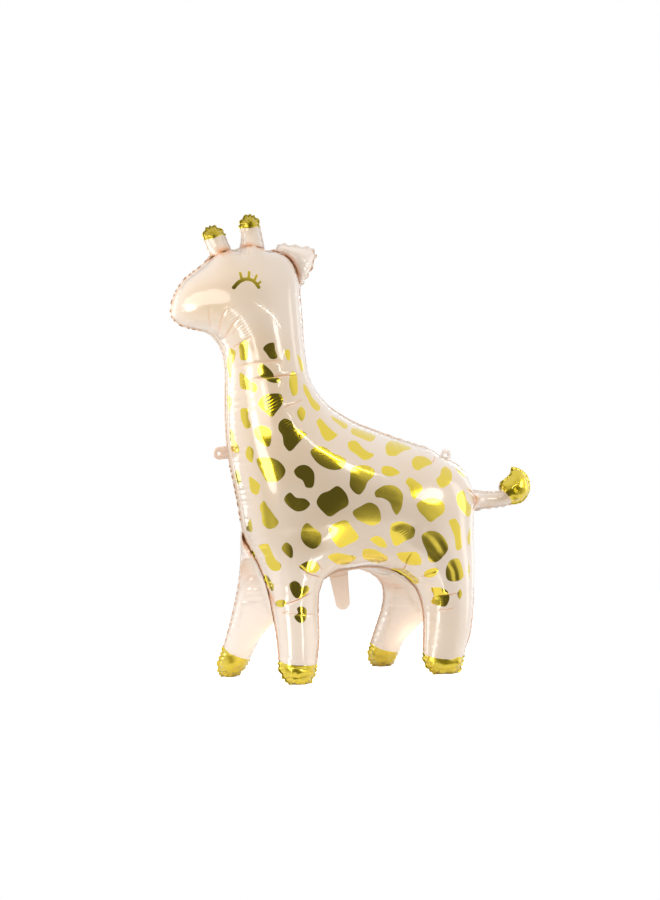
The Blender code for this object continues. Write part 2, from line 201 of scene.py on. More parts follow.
FLANK_SPOTS = (
    ((347.5, 443.5), (356, 441), (362, 447), (367.5, 451.5), (374, 454.5), (371, 458), (364, 460),
     (356, 454.5), (348.5, 448.5)),
    ((351.5, 428.5), (363, 430.5), (375.5, 436), (370.5, 441.5), (361, 438.5), (350.5, 432)),
    ((389.5, 441), (400, 442.5), (411, 448), (402, 451.5), (394, 456), (387, 454.5), (385, 448)),
    ((413.5, 457.5), (422.5, 456), (428.5, 458.5), (432, 462.5), (426, 466), (421.5, 468.5), (417.5, 470.5),
     (413, 467.5), (411.5, 462)),
    ((382, 467), (388, 466), (396, 469), (400, 472.5), (395, 475.5), (387, 476), (381.5, 472.5)),
    ((409, 477.5), (416, 481), (422.5, 487.5), (419, 494.5), (414, 499), (411, 494.5), (409, 487.5),
     (405.5, 482)),
    ((441, 469.5), (446, 466.5), (450.5, 471), (451.5, 478.5), (446.5, 486), (440, 487.5), (436, 479.5),
     (440, 475)),
    ((455, 466), (461, 469.5), (464.5, 477.5), (460.5, 475), (456.5, 470.5)),
    ((351.5, 468), (358.5, 465.5), (370, 466.5), (374.5, 470.5), (373.5, 476), (367.5, 482), (364, 490),
     (359.5, 494.5), (350, 487), (350, 477.5)),
    ((374.5, 493.5), (380, 487.5), (387, 485), (396, 486.5), (402.5, 493.5), (402.5, 502.5), (399.5, 512),
     (396.5, 515), (392.5, 509.5), (389.5, 502.5), (382.5, 498), (375.5, 496.5)),
    ((416.5, 505), (425, 499), (436.5, 498), (444.5, 505), (444, 512), (437.5, 517.5), (430.5, 522),
     (424, 516.5), (418, 509.5)),
    ((456.5, 496), (463.5, 490.5), (466.5, 500.5), (471, 508.5), (468.5, 517), (461.5, 510.5),
     (457.5, 504)),
    ((320.5, 494.5), (329.5, 490.5), (337, 486), (345, 492), (348, 505), (340, 510.5), (329, 516.5),
     (322.5, 511.5), (316.5, 502)),
    ((352.5, 512.5), (361, 506), (369.5, 502.5), (376.5, 505.5), (380.5, 514), (380, 522), (375.5, 525),
     (363, 522.5), (355, 517.5)),
    ((391.5, 524.5), (399, 521.5), (409, 524), (415.5, 529), (415, 536), (405.5, 541.5), (396, 546),
     (392, 538), (390.5, 530)),
    ((371, 539.5), (378, 536), (384, 539), (387.5, 547.5), (380.5, 547), (374.5, 543)),
    ((301.5, 531), (306.5, 523), (313.5, 527.5), (321.5, 534.5), (320.5, 545), (314.5, 549), (306.5, 545.5),
     (302, 539)),
    ((329, 529), (336.5, 522.5), (346.5, 520.5), (352.5, 527.5), (359.5, 538), (349, 545), (341, 548),
     (335, 542.5), (331, 536)),
    ((422.5, 536), (430.5, 531), (440, 533), (446.5, 539.5), (449.5, 547.5), (444.5, 556.5), (435.5, 562.5),
     (430.5, 561.5), (428, 552), (423.5, 541.5)),
    ((449, 521.5), (455, 518.5), (459.5, 524.5), (462, 537), (461.5, 549.5), (458.5, 550.5), (455.5, 537),
     (451, 526.5)),
    ((470.5, 528), (471.3, 535), (469.7, 546), (468, 541.5), (468.7, 532.5)),
    ((328.5, 556.5), (335, 553.5), (346.5, 554.5), (357, 558.5), (353.5, 561.5), (343, 565), (334, 562)),
    ((363.5, 550), (372, 549), (380, 552), (388, 560.5), (383.5, 563), (368.5, 560.5), (363.5, 557)),
    ((397.5, 554), (409, 552), (418, 552.5), (421.5, 564.5), (413.5, 565.5), (402, 561)),
)
LEG_SPOTS = (
    ((300, 567), (306.5, 562), (315.5, 561.5), (320.5, 568), (315.5, 573), (307.5, 572)),
    ((265.5, 574.5), (270, 579.5), (274.5, 587.5), (272.5, 591.5), (268, 585), (264.5, 579)),
    ((290.5, 583.5), (295.5, 581), (300.5, 584), (302, 587.5), (307, 585.5), (309.5, 587.5), (306.5, 594.5),
     (296, 598), (291.5, 592)),
    ((275.5, 602), (281, 599.5), (287, 601.5), (282.5, 607.5), (277, 606.5)),
    ((297.5, 608), (300.5, 606.5), (306.5, 609), (307, 615), (304, 622), (300, 623), (294.5, 616),
     (298, 613.5)),
    ((439, 568.5), (437.5, 574), (432, 577.5), (425, 576.5), (425.5, 572), (432, 568.5)),
    ((452, 560), (459.5, 559), (463, 568), (464, 577), (457, 581.5), (448.5, 580), (446.5, 571.5)),
    ((469.3, 560.5), (470.2, 569), (469.6, 579), (468.3, 571.5)),
    ((391.5, 568.5), (402, 568.5), (413.5, 575.5), (420, 580.5), (417.5, 584), (407.5, 578),
     (397.5, 572.5)),
    ((431.5, 588.5), (440, 587.5), (448, 591.5), (450, 596.5), (448.5, 603), (445.5, 606.5), (440, 606),
     (432, 603), (432.5, 599), (434.5, 596.5), (433.5, 593)),
    ((461, 589), (463, 593), (460, 599.5), (458, 595)),
)

# The closed eye: strokes in picture points, with each one's half width in metres
EYE_STROKES = (
    (((233.7, 287.5), (240.2, 281.2), (246.7, 279.0), (253.2, 280.8), (258.7, 287.0)), 0.0041),
    (((240.2, 273.2), (241.9, 280.0)), 0.0031),
    (((249.1, 272.1), (248.4, 279.0)), 0.0031),
    (((256.7, 275.4), (254.0, 281.0)), 0.0028),
    (((260.4, 281.8), (257.2, 285.0)), 0.0026),
)
# Painted shade that darkens the eye's gold print
EYE_PAINTED_SHADE = 0.50

# How pale the edge is, how much painted light brightens the ear and the legs against the body, and the
# height where the painted leg light begins
EDGE_PALENESS = 0.6
EAR_PAINTED_LIGHT = 0.7
LEG_PAINTED_LIGHT = 0.75
PAINTED_LEG_LIGHT_TOP = 0.30
PAINTED_LEG_LIGHT_EASING = 0.08

# Where the gold of each tip begins, as picture points along its edge
FRONT_HORN_GOLD = ((205.5, 240.2), (213.5, 238.5), (221.5, 235.0))
REAR_HORN_GOLD = ((240.5, 228.5), (249.0, 228.5), (258.5, 227.0))
TUFT_GOLD = ((498.5, 478.0), (499.5, 488.0), (512.5, 505.5))
NEAR_FRONT_HOOF_GOLD = ((277, 660), (287, 664.5), (299.5, 665.5), (311, 665.5), (315, 664))
NEAR_REAR_HOOF_GOLD = ((421.5, 651), (426.5, 655.5), (438, 658.5), (451, 659.5), (458, 657), (463, 655.5))
FAR_FRONT_HOOF_GOLD = ((222, 645.5), (229.5, 651), (240, 654.5), (250.5, 657.5))
FAR_REAR_HOOF_GOLD = ((371.5, 643), (379, 646), (387.5, 648), (402, 650))

# Sharp creases of the skin: points along each in the picture, depth and width in metres, and how much
# painted brown shade it gets
CREASES = (
    (((210, 306.6), (209, 318), (210.4, 329)), 0.0010, 0.0016, 0.30),
    (((227.4, 307.5), (221.6, 318), (217.8, 333)), 0.0014, 0.0018, 0.45),
    (((240.6, 316), (232.3, 325), (222.4, 340)), 0.0015, 0.0018, 0.50),
    (((244, 322), (238, 327.5), (231, 336)), 0.0006, 0.0014, 0.15),
    (((251.4, 337.3), (241.5, 342.3), (231.5, 348)), 0.0014, 0.0017, 0.60),
    (((232.3, 367), (254.7, 363), (283, 360)), 0.0013, 0.0018, 0.40),
    (((249, 379), (273, 376.7), (300, 373.8)), 0.0017, 0.0018, 0.80),
    (((282, 409), (303.7, 399)), 0.0011, 0.0017, 0.45),
    (((431.3, 452.3), (433.9, 455.9), (431.7, 463)), 0.0014, 0.0017, 0.70),
    (((298, 564), (308, 573), (322, 577.5)), 0.0017, 0.0018, 0.90),
    (((317.5, 562), (320.5, 566), (322.5, 571)), 0.0010, 0.0014, 0.60),
    (((284, 605), (299, 599.5), (312, 592)), 0.0018, 0.0018, 0.90),
    (((272, 613), (284, 612.5), (295, 611.3)), 0.0010, 0.0018, 0.40),
    (((413.5, 552), (408, 561), (400.6, 571)), 0.0016, 0.0018, 0.85),
    (((421, 577), (428, 575), (438, 570.5)), 0.0012, 0.0016, 0.60),
    (((436.3, 596), (448, 595), (460, 592.5)), 0.0014, 0.0017, 0.80),
    (((437, 610.6), (447, 609.5), (455.4, 607.7)), 0.0012, 0.0017, 0.50),
    (((363.5, 556), (372, 556.8), (387, 560)), 0.0008, 0.0016, 0.30),
    (((353, 554.5), (354, 558), (352.6, 563)), 0.0008, 0.0014, 0.30),
    (((206, 260.4), (216.4, 254.5), (229.4, 250)), 0.0020, 0.0030, 0.60),
    (((240, 249), (247, 244.5), (254.4, 245.2), (264.7, 248.5)), 0.0020, 0.0030, 0.60),
    (((244.5, 248), (245, 254)), 0.0009, 0.0018, 0.30),
    (((249.3, 248.5), (249.0, 256)), 0.0008, 0.0016, 0.25),
    (((240.5, 250.5), (239.5, 258)), 0.0007, 0.0016, 0.20),
    (((222.5, 252), (224.5, 258)), 0.0009, 0.0018, 0.35),
    (((276, 249), (281, 251.8), (290.2, 258.8), (296.7, 270.7), (298.8, 284)), 0.0008, 0.0024, 0.55),
    (((466.5, 489), (473.5, 494), (476, 501), (471.5, 511)), 0.0026, 0.0045, 0.80),
    (((424, 452.5), (431.3, 452.3)), 0.0008, 0.0016, 0.30),
    (((282, 676.5), (297, 677.5), (311, 675)), 0.0016, 0.0020, 0.45),
    (((427, 666.5), (443, 669), (460, 666)), 0.0014, 0.0020, 0.40),
    (((221, 660), (233, 661.5), (245, 666)), 0.0014, 0.0020, 0.40),
)

# Broad soft folds: points along each in the picture, depth and width in metres
SOFT_FOLDS = (
    (((422, 529), (433, 535), (442, 546), (447, 556)), 0.0024, 0.0095),
    (((449, 560), (455, 570), (457, 584)), 0.0022, 0.0060),
    (((262, 545), (272, 560), (279, 574)), 0.0020, 0.0070),
    (((391, 527), (404, 524), (418, 530)), 0.0016, 0.0080),
)

# Where fine drawn lines cross the film: points along each band, half width in metres and strength
RIPPLES = (
    (((229, 308), (236, 318), (245, 329), (252, 338)), 0.0120, 1.0),
    (((224, 309), (229, 322), (226, 334)), 0.0080, 0.25),
    (((240, 383), (247, 386), (254, 391)), 0.0110, 0.8),
    (((276, 363), (277, 372), (279, 379)), 0.0080, 0.5),
    (((262, 398), (270, 403), (279, 404)), 0.0110, 1.0),
    (((284, 419), (291, 426)), 0.0070, 0.6),
    (((292, 386), (296, 389)), 0.0070, 0.5),
    (((410, 534), (398, 528)), 0.0060, 0.2),
)
RIPPLE_PITCH = 0.0062

# Painted orange-brown shade in deep folds, between the legs and in hollows of the gold tips: points along
# each in the picture, half width in metres and strength
FOLD_SHADES = (
    (((206, 260.6), (211, 257.0), (216.4, 253.8)), 0.0042, 0.95),
    (((216, 254.5), (221, 251.5), (226, 250.3), (231, 249)), 0.0084, 0.78),
    (((221.5, 252), (224.5, 251), (227, 250.5)), 0.0032, 1.00),
    (((241.3, 248.4), (246.8, 245.5), (253.3, 245.6)), 0.0055, 0.80),
    (((254.4, 245.8), (258, 246.8), (265, 248.8)), 0.0038, 1.00),
    (((272.0, 251.0), (276, 252.0), (279, 253)), 0.0036, 1.00),
    (((281, 252.5), (288, 256.5), (294.5, 265), (299, 274.5), (301, 281)), 0.0050, 0.40),
    (((280.4, 252.3), (289, 258.8), (294.5, 267.5), (297.6, 276.2), (298.4, 281)), 0.0024, 0.90),
    (((297.8, 281.5), (298.8, 284.5)), 0.0042, 0.90),
    (((474.5, 493.5), (476, 500), (474, 508)), 0.0080, 0.70),
    (((472.5, 495), (473.5, 505)), 0.0026, 0.90),
    (((478, 505), (486, 506), (494, 505.5)), 0.0040, 0.30),
    (((246.8, 541.5), (254.5, 560), (263, 583), (270.5, 606)), 0.0030, 0.90),
    (((240, 556), (246, 572), (252, 588), (257, 602)), 0.0120, 0.32),
    (((250, 571), (256, 586), (262, 602), (266, 612)), 0.0062, 0.66),
    (((262, 600), (266, 612)), 0.0036, 0.92),
    (((398, 578), (405, 588), (411, 602)), 0.0120, 0.34),
    (((403, 590), (410, 601), (415.5, 613)), 0.0062, 0.62),
    (((376, 572), (380, 582)), 0.0050, 0.30),
    (((288, 667.5), (288, 673.5)), 0.0055, 0.60),
    (((456.5, 660), (457, 664)), 0.0040, 1.00),
    (((229.0, 653), (233, 661)), 0.0090, 0.85),
    (((374, 650), (373.5, 654)), 0.0046, 0.75),
    (((503, 485), (506, 489), (510.5, 494)), 0.0034, 0.85),
    (((512, 497), (518, 499.5)), 0.0040, 0.85),
    (((502, 481), (501, 484), (501.5, 487)), 0.0030, 1.00),
)

# Painted brown shade along the seam, in dashes that stand for dark reflections in its puckers or as solid
# lines: a box in thousandths of the height, its side, strength, and dashes or not
SEAM_SHADE_MARKS = (
    ((-400, 752), (-296, 905), "both", 0.98, True),
    ((-290, 345), (-245, 462), "both", 0.98, True),
    ((-80, 866), (-40, 925), "both", 0.95, True),
    ((-300, 925), (-250, 985), "both", 0.35, True),
    ((-120, 600), (-60, 838), "both", 0.78, False),
    ((-60, 505), (120, 610), "both", 0.36, False),
    ((-300, 462), (-262, 640), "both", 0.36, False),
    ((-256, 128), (-205, 318), "near", 1.00, False),
    ((-256, 20), (-205, 128), "near", 0.80, False),
    ((-160, 40), (-80, 216), "near", 0.85, False),
    ((-80, 205), (90, 240), "both", 0.60, False),
    ((86, 30), (122, 205), "near", 0.85, False),
    ((200, 60), (300, 345), "near", 0.80, False),
    ((-256, 60), (-205, 262), "far", 0.85, True),
    ((86, 40), (122, 190), "far", 0.80, False),
    ((366, 345), (410, 365), "both", 0.55, True),
)
DASH_PITCH = 0.0150
DASH_DRIFT = 0.057

# Puckers along the seams, in metres. They are weaker past the start of the tail, in thousandths
RANDOM_SEED = 11
PUCKER_PITCH = 0.0125
PUCKER_DEPTH = 0.0012
PUCKER_WIDTH = 0.0024
PUCKER_REACH = 0.013
TAIL_START = 292
TAIL_PUCKER_SHARE = 0.3

# Waves of the flat seam and of its cut edge, in metres, and the boxes where the edge swings more
FLANGE_WAVE = 0.0005
FLANGE_DRIFT = 0.11
EDGE_SCALLOP = 0.0003
EDGE_PITCH = 1.7 * PUCKER_PITCH
EDGE_DRIFT = 0.083
EDGE_WAVES = (
    ((-150, 842), (-45, 945), 0.0019),
    ((250, 296), (300, 348), 0.0012),
    ((90, 430), (240, 525), 0.0009),
    ((298, 334), (378, 358), 0.0014),
)

# Soft unevenness of the film, the crumple of the gold tips and the lumps round their rims, in metres
SOFT_BUMP_SIZE = 0.065
SOFT_BUMP_DEPTH = 0.0008
SOFT_BUMP_SEED = 5
CRUMPLE_SIZE = 0.0210
CRUMPLE_DEPTH = 0.0024
CRUMPLE_FADE = 0.014
CRUMPLE_SEED = 8
TIP_SCALLOP = 0.0046
TIP_PITCH = 0.0130
TIP_FOLD = 0.0032
TIP_FOLD_REACH = 0.010
LUMP_DRIFT = 0.047
LUMP_MIDDLE = 0.6

# The gold tips: spans and places in thousandths of the height, levels in metres, and how much painted shade
# darkens them
FRONT_HORN_SPAN = (-330, -238)
REAR_HORN_SPAN = (-238, -160)
HORN_LEVEL = 0.9
TUFT_CORNER = (0.33, 0.3)
HOOF_LEVEL = 0.12
TUFT_START = 330
TUFT_FLAT_ABOVE = 400
TUFT_LUMP_SHARE = 0.2
HORNS_FROM = 880
HORN_TIP_SHADE = 0.42
HOOF_SHADE = 0.08

# Colours, in linear light
CREAM = (0.66, 0.535, 0.415, 1.0)
TAN = (0.62, 0.475, 0.325, 1.0)
# Painted sheen: the cream turns to this pink towards its grazing edges
PAINTED_SHEEN_PINK = (0.78, 0.675, 0.60, 1.0)
# The cut edge's paler tone, and painted light that brightens the ear and the legs
PALE_EDGE_AND_PAINTED_LIGHT = (0.88, 0.77, 0.68, 1.0)
# Painted shade: orange-brown in creases, folds and the seam; also the colour of the valve's weld lines
SHADE_AND_WELD_BROWN = (0.66, 0.24, 0.045, 1.0)
# Painted shade in the darkest folds
DEEP_SHADE_BROWN = (0.085, 0.036, 0.014, 1.0)
GOLD = (0.80, 0.600, 0.003, 1.0)
GOLD_RIM = (0.86, 0.74, 0.18, 1.0)
# Painted shade on the gold
GOLD_PAINTED_SHADE = (0.13, 0.075, 0.002, 1.0)
VALVE_FILM = (0.97, 0.78, 0.64, 1.0)
FLOOR_GREY = (0.9, 0.9, 0.9, 1.0)
WHITE = (1.0, 1.0, 1.0, 1.0)
BLACK = (0.0, 0.0, 0.0, 1.0)

# How glossy the film, its gold, the gold tips and the valve are
FILM_ROUGHNESS = 0.22
GOLD_ROUGHNESS = 0.13
TIP_ROUGHNESS = 0.17
FILM_VARNISH = 0.68
VARNISH_ROUGHNESS = 0.06
VARNISH_INDEX = 1.8
FILM_SHEEN = 0.10
SHEEN_ROUGHNESS = 0.35
VALVE_ROUGHNESS = 0.36
VALVE_VARNISH = 0.3

# Fine unevenness: noise scales, the drawn lines in metres and turns, and a peel's scale and strength
CLOUD_SCALE = 6.0
FILM_PEEL = (55.0, 0.30)
VALVE_CLOUD_SCALE = 40.0
VALVE_PEEL = (120.0, 0.25)
VALVE_LINE_PITCH = 0.004
VALVE_LINE_SHARE = 0.10
LINE_DRIFT_SCALE = 28.0
LINE_DRIFT = 9.0
LINE_WAY = (0.87, 0.50)
BUMP_HEIGHT = 0.001

# The studio: the floor in metres, and the dark front of the room as sines of its direction
FLOOR_LEFT = 0.75
FLOOR_RIGHT = 1.6
FLOOR_FRONT = 0.56
FLOOR_BACK = 1.6
FLOOR_LEVEL = -0.0005
FLOOR_ROUGHNESS = 0.8
FLOOR_GLOW = 0.8
DARK_CENTRE = (-0.18, 0.0)
DARK_HALF_SIZE = (0.88, 0.68)
DARK_BACK_SHARE = 0.65
DARK_LEVEL = 0.10
BRIGHT_LEVEL = 0.95
DARK_EDGES = (0.20, 1.6)
ROOM_CLOUDS = 3.5
ROOM_CLOUD_DEPTH = 0.8
EVEN_LIGHT = 1.09
EVEN_LIGHT_SPREAD = 100
EVEN_LIGHT_WAY = (0.25, 1.0, -0.45)

# Lit panels: aim, azimuth, elevation, distance, width, height, brightness, turn. Each has a twin behind
SOFT_BOXES = (
    ("chest_strip", (-0.25, -0.10, 0.48), -66, 0, 1.2, 0.40, 0.76, 4.0, 22),
    ("muzzle_panel", (-0.346, -0.062, 0.831), -53, 5, 0.6, 0.84, 0.56, 2.1, 4),
    ("chin_panel", (-0.276, -0.086, 0.785), -32, -19, 0.3, 0.055, 0.075, 3.2, 0),
    ("neck_strip", (-0.194, -0.096, 0.735), 34, 6, 0.9, 0.20, 0.11, 4.6, 0),
    ("back_strip", (-0.104, -0.136, 0.499), 22, 28, 0.9, 0.84, 0.022, 9.5, -8),
    ("rump_panel", (0.130, -0.125, 0.391), 54, 15, 0.8, 0.46, 0.22, 3.9, 29),
    ("leg_strip", (-0.172, -0.118, 0.115), 15, 17, 0.15, 0.018, 0.13, 5.0, 0),
    ("flank_strip", (-0.098, -0.131, 0.312), 12, -38, 0.42, 0.15, 0.018, 6.5, -29),
    ("side_window", (0.0, 0.0, 0.50), 84, 3, 2.2, 0.56, 1.8, 1.2, 0),
)
TWIN_SHARE = 0.5
TWIN_TURN = 0.72

# Warm light that the two legs of a pair throw on each other: places in metres, size, power and colour
LEG_GLOWS = ((-0.20, 0.0, 0.06), (-0.19, 0.0, 0.19), (0.12, 0.0, 0.06), (0.14, 0.0, 0.18))
LEG_GLOW_SIZE = 0.04
LEG_GLOW_POWER = 0.095
LEG_GLOW_COLOUR = (1.0, 0.84, 0.68)

# One thousandth of the height, and a gap that counts as far away, in metres
UNIT = HEIGHT / 1000.0
FAR_AWAY = 0.02


def from_share(points):
    """Turns thousandths of the height into metres."""
    return np.array(points, dtype=float) * UNIT


def curve_pieces(points, first, last, counts):
    """Points on the smooth curve through the given ones, from one of them to just before another."""
    gaps = np.linalg.norm(np.diff(points, axis=0), axis=1)
    slopes = np.gradient(points, np.concatenate(([0.0], np.cumsum(gaps))), axis=0)
    pieces = []
    for i in range(first, last):
        s = np.linspace(0.0, 1.0, counts(gaps[i]), endpoint=False)[:, None]
        pieces.append((2 * s**3 - 3 * s**2 + 1) * points[i] + (s**3 - 2 * s**2 + s) * gaps[i] * slopes[i]
                      + (3 * s**2 - 2 * s**3) * points[i + 1] + (s**3 - s**2) * gaps[i] * slopes[i + 1])
    return np.concatenate(pieces)


def smooth_run(points, step):
    """A smooth curve through the points, as points one step apart with both ends included."""
    fine = curve_pieces(points, 0, len(points) - 1, lambda gap: 16)
    fine = np.concatenate([fine, points[-1:]])
    run = np.concatenate(([0.0], np.cumsum(np.linalg.norm(np.diff(fine, axis=0), axis=1))))
    stations = np.linspace(0.0, run[-1], max(2, round(run[-1] / step)) + 1)
    return np.stack([np.interp(stations, run, fine[:, k]) for k in (0, 1)], axis=1)


def smooth_ring(points, step):
    """A smooth closed curve through the points, as points one step apart."""
    around = np.concatenate([points[-2:], points, points[:2]])
    return curve_pieces(around, 2, len(around) - 2, lambda gap: max(2, round(gap / step)))


def profile():
    """The giraffe's closed outline without its tabs."""
    return np.concatenate([smooth_run(from_share(points), SEAM_STEP)[:-1] for points in STROKES])


def outward_normals(loop):
    """Unit normals that point out of an anticlockwise loop."""
    along = np.roll(loop, -1, axis=0) - np.roll(loop, 1, axis=0)
    along /= np.linalg.norm(along, axis=1, keepdims=True)
    return np.stack([along[:, 1], -along[:, 0]], axis=1)


def loop_measures(loop, points):
    """How far inside a loop each point lies, how far along the loop that is, and the way out."""
    tree = KDTree(len(loop))
    for i, p in enumerate(loop):
        tree.insert((p[0], p[1], 0.0), i)
    tree.balance()
    nearest = np.array([tree.find((p[0], p[1], 0.0))[1] for p in points])
    edge = np.roll(loop, -1, axis=0) - loop
    length = np.linalg.norm(edge, axis=1)
    run = np.concatenate(([0.0], np.cumsum(length)[:-1]))
    normals = outward_normals(loop)
    best = np.full(len(points), np.inf)
    inside, along, out = np.zeros(len(points)), np.zeros(len(points)), np.zeros((len(points), 2))
    for i in ((nearest - 1) % len(loop), nearest):
        from_start = points - loop[i]
        share = np.clip((from_start * edge[i]).sum(1) / length[i] ** 2, 0.0, 1.0)
        away = from_start - share[:, None] * edge[i]
        gap = np.linalg.norm(away, axis=1)
        normal = (1.0 - share)[:, None] * normals[i] + share[:, None] * normals[(i + 1) % len(loop)]
        normal /= np.linalg.norm(normal, axis=1, keepdims=True)
        closer = gap < best
        best = np.where(closer, gap, best)
        inside[closer] = -(np.sign((away * normal).sum(1)) * gap)[closer]
        along[closer] = (run[i] + share * length[i])[closer]
        out[closer] = normal[closer]
    return inside, along, out


def run_gap(run, points):
    """The distance of each point from an open run of points, and the nearest place's share of the run."""
    start, edge = run[:-1], np.diff(run, axis=0)
    from_start = points[:, None, :] - start[None]
    share = np.clip((from_start * edge).sum(2) / (edge * edge).sum(1), 0.0, 1.0)
    gaps = np.linalg.norm(from_start - share[..., None] * edge, axis=2)
    nearest = gaps.argmin(axis=1)
    rows = np.arange(len(points))
    return gaps[rows, nearest], (nearest + share[rows, nearest]) / len(edge)


def ring_gap(ring, points):
    """The distance of each point from a small closed ring, negative within it."""
    closed = np.concatenate([ring, ring[:1]])
    gap = run_gap(closed, points)[0]
    x, z = points[:, :1], points[:, 1:]
    ax, az = ring[:, 0], ring[:, 1]
    bx, bz = np.roll(ax, -1), np.roll(az, -1)
    spans = (az > z) != (bz > z)
    rise = np.where(bz == az, 1.0, bz - az)
    within = (spans & (x < ax + (z - az) * (bx - ax) / rise)).sum(axis=1) % 2 == 1
    return np.where(within, -gap, gap)


def add_tab(loop, at, width, length):
    """Lets a round-ended tab stand out of the loop, and returns the new loop and the tab's hole."""
    edges = np.roll(loop, -1, axis=0) - loop
    share = np.clip(((at - loop) * edges).sum(1) / (edges * edges).sum(1), 0.0, 1.0)
    feet = loop + share[:, None] * edges
    i = np.argmin(np.linalg.norm(feet - at, axis=1))
    base = feet[i]
    out = np.array([edges[i, 1], -edges[i, 0]]) / np.linalg.norm(edges[i])
    loop = np.roll(loop, -i - 1, axis=0)
    along = np.array([-out[1], out[0]])
    radius = width / 2
    under_tab = np.abs((loop - base) @ along) < radius + SEAM_STEP / 2
    under_tab &= np.linalg.norm(loop - base, axis=1) < 2 * width
    turns = np.linspace(-math.pi / 2, math.pi / 2, TAB_SIDES)
    tip = base + out * (length - radius)
    arc = tip + radius * (np.cos(turns)[:, None] * out + np.sin(turns)[:, None] * along)
    first, last = base - radius * along, base + radius * along
    tab = np.concatenate([straight(first, arc[0]), arc, straight(arc[-1], last)[1:], [last]])
    turns = np.arange(HOLE_SIDES) * 2 * math.pi / HOLE_SIDES
    centre = base + out * (length - TAB_HOLE_FROM_TIP)
    hole = centre + TAB_HOLE_DIAMETER / 2 * np.stack([np.cos(turns), np.sin(turns)], axis=1)
    return np.concatenate([loop[~under_tab], tab]), hole


def straight(start, end):
    """Points from the start to just before the end, about one seam step apart."""
    count = max(1, round(np.linalg.norm(end - start) / SEAM_STEP))
    return start + np.linspace(0.0, 1.0, count, endpoint=False)[:, None] * (end - start)


def leg_share(z):
    """How far down its leg a height lies: 0 where the panels part, 1 at the floor."""
    split = SPLIT_HEIGHT * UNIT
    return np.clip((split - z) / split, 0.0, 1.1)


def slimmer_share(down):
    """How much of its slimness a leg has at a share of its length."""
    return smooth_step((down - SLIMMER_FROM) / SLIMMER_EASING)


def stance(z):
    """How far the middle of a side panel stands from the mirror plane."""
    share = leg_share(z)
    eased = np.where(share < SPLIT_EASING, share**2 / (2 * SPLIT_EASING), share - SPLIT_EASING / 2)
    return HALF_STANCE * eased / (1.0 - SPLIT_EASING / 2)


def smooth_step(value):
    """Eases from 0 to 1 as the value does."""
    value = np.clip(value, 0.0, 1.0)
    return value * value * (3.0 - 2.0 * value)


def camera_axes():
    """The camera's place, and its forward, right and up directions."""
    yaw, pitch, roll = (math.radians(a) for a in (CAMERA_YAW, CAMERA_PITCH, CAMERA_ROLL))
    forward = np.array([math.sin(yaw) * math.cos(pitch), math.cos(yaw) * math.cos(pitch), math.sin(pitch)])
    level = np.array([math.cos(yaw), -math.sin(yaw), 0.0])
    raised = np.cross(level, forward)
    right = math.cos(roll) * level - math.sin(roll) * raised
    up = math.sin(roll) * level + math.cos(roll) * raised
    return np.array(CAMERA_AIM) - CAMERA_DISTANCE * forward, forward, right, up


def sight_line(at):
    """The direction in which the camera sees a picture point."""
    forward, right, up = camera_axes()[1:]
    across = (at[0] - PICTURE_WIDTH / 2) * POINT_SIZE
    down = (at[1] - PICTURE_HEIGHT / 2) * POINT_SIZE
    return Vector(CAMERA_DISTANCE * forward + across * right - down * up).normalized()


class Sight:
    """Brings picture points onto the side panels, in profile coordinates."""

    def __init__(self, node, shift):
        mesh = node.data
        self.tree = BVHTree.FromPolygons([v.co for v in mesh.vertices], [p.vertices for p in mesh.polygons])
        self.eye = Vector(camera_axes()[0])
        self.shift = shift

    def profile_place(self, at):
        """The profile coordinates of what a picture point shows, or None beside the balloon."""
        hit = self.tree.ray_cast(self.eye, sight_line(at))[0]
        if hit is None:
            return None
        x, z = hit.x - self.shift, hit.z
        down = float(leg_share(z))
        if hit.y < 0.0:
            return np.array([x - NEAR_FRONT_LEG[0] * down, z])
        rear = x > 0.0
        foot, bow, slimness = FAR_REAR_LEG if rear else FAR_FRONT_LEG
        slimness *= float(slimmer_share(down))
        middle = (REAR_LEG_X * UNIT + REAR_LEG_SLOPE * z) if rear else FRONT_LEG_X * UNIT
        x -= foot * down + bow * math.sin(math.pi * min(down, 1.0))
        return np.array([middle + (x - middle) / (1.0 - slimness), z])

    def is_far(self, points):
        """Whether picture points show the far side panel."""
        hit = self.tree.ray_cast(self.eye, sight_line(points[len(points) // 2]))[0]
        return hit is not None and hit.y > 0.0

    def places(self, points):
        """Profile places of picture points, each drawn towards their middle until it is on the skin."""
        middle = np.mean(points, axis=0)
        found = []
        for point in np.array(points, dtype=float):
            for pull in np.linspace(0.0, 0.9, 19):
                place = self.profile_place(point + pull * (middle - point))
                if place is not None:
                    found.append(place)
                    break
        return np.array(found)

    def runs(self, lines, step):
        """Smooth runs on the skin for lines of picture points, each with its sizes and whether it is far."""
        found = []
        for points, *sizes in lines:
            places = self.places(points)
            if len(places) > 1:
                found.append((smooth_run(places, step), *sizes, self.is_far(points)))
        return found


def thin_out(groups, fixed):
    """Joins groups of points, leaving out those too close to an earlier one: (points, smallest gap) each."""
    cell = SKIN_STEP
    taken = {}
    kept = []

    def add(point, keep):
        taken.setdefault((int(point[0] // cell), int(point[1] // cell)), []).append(point)
        if keep:
            kept.append(point)

    def crowded(point, gap):
        column, row = int(point[0] // cell), int(point[1] // cell)
        for i in (column - 1, column, column + 1):
            for j in (row - 1, row, row + 1):
                for other in taken.get((i, j), ()):
                    if abs(other[0] - point[0]) < gap and abs(other[1] - point[1]) < gap:
                        if (other[0] - point[0]) ** 2 + (other[1] - point[1]) ** 2 < gap * gap:
                            return True
        return False

    for point in fixed:
        add(point, False)
    for points, gap in groups:
        for point in points:
            if not crowded(point, gap):
                add(point, True)
    return np.array(kept)


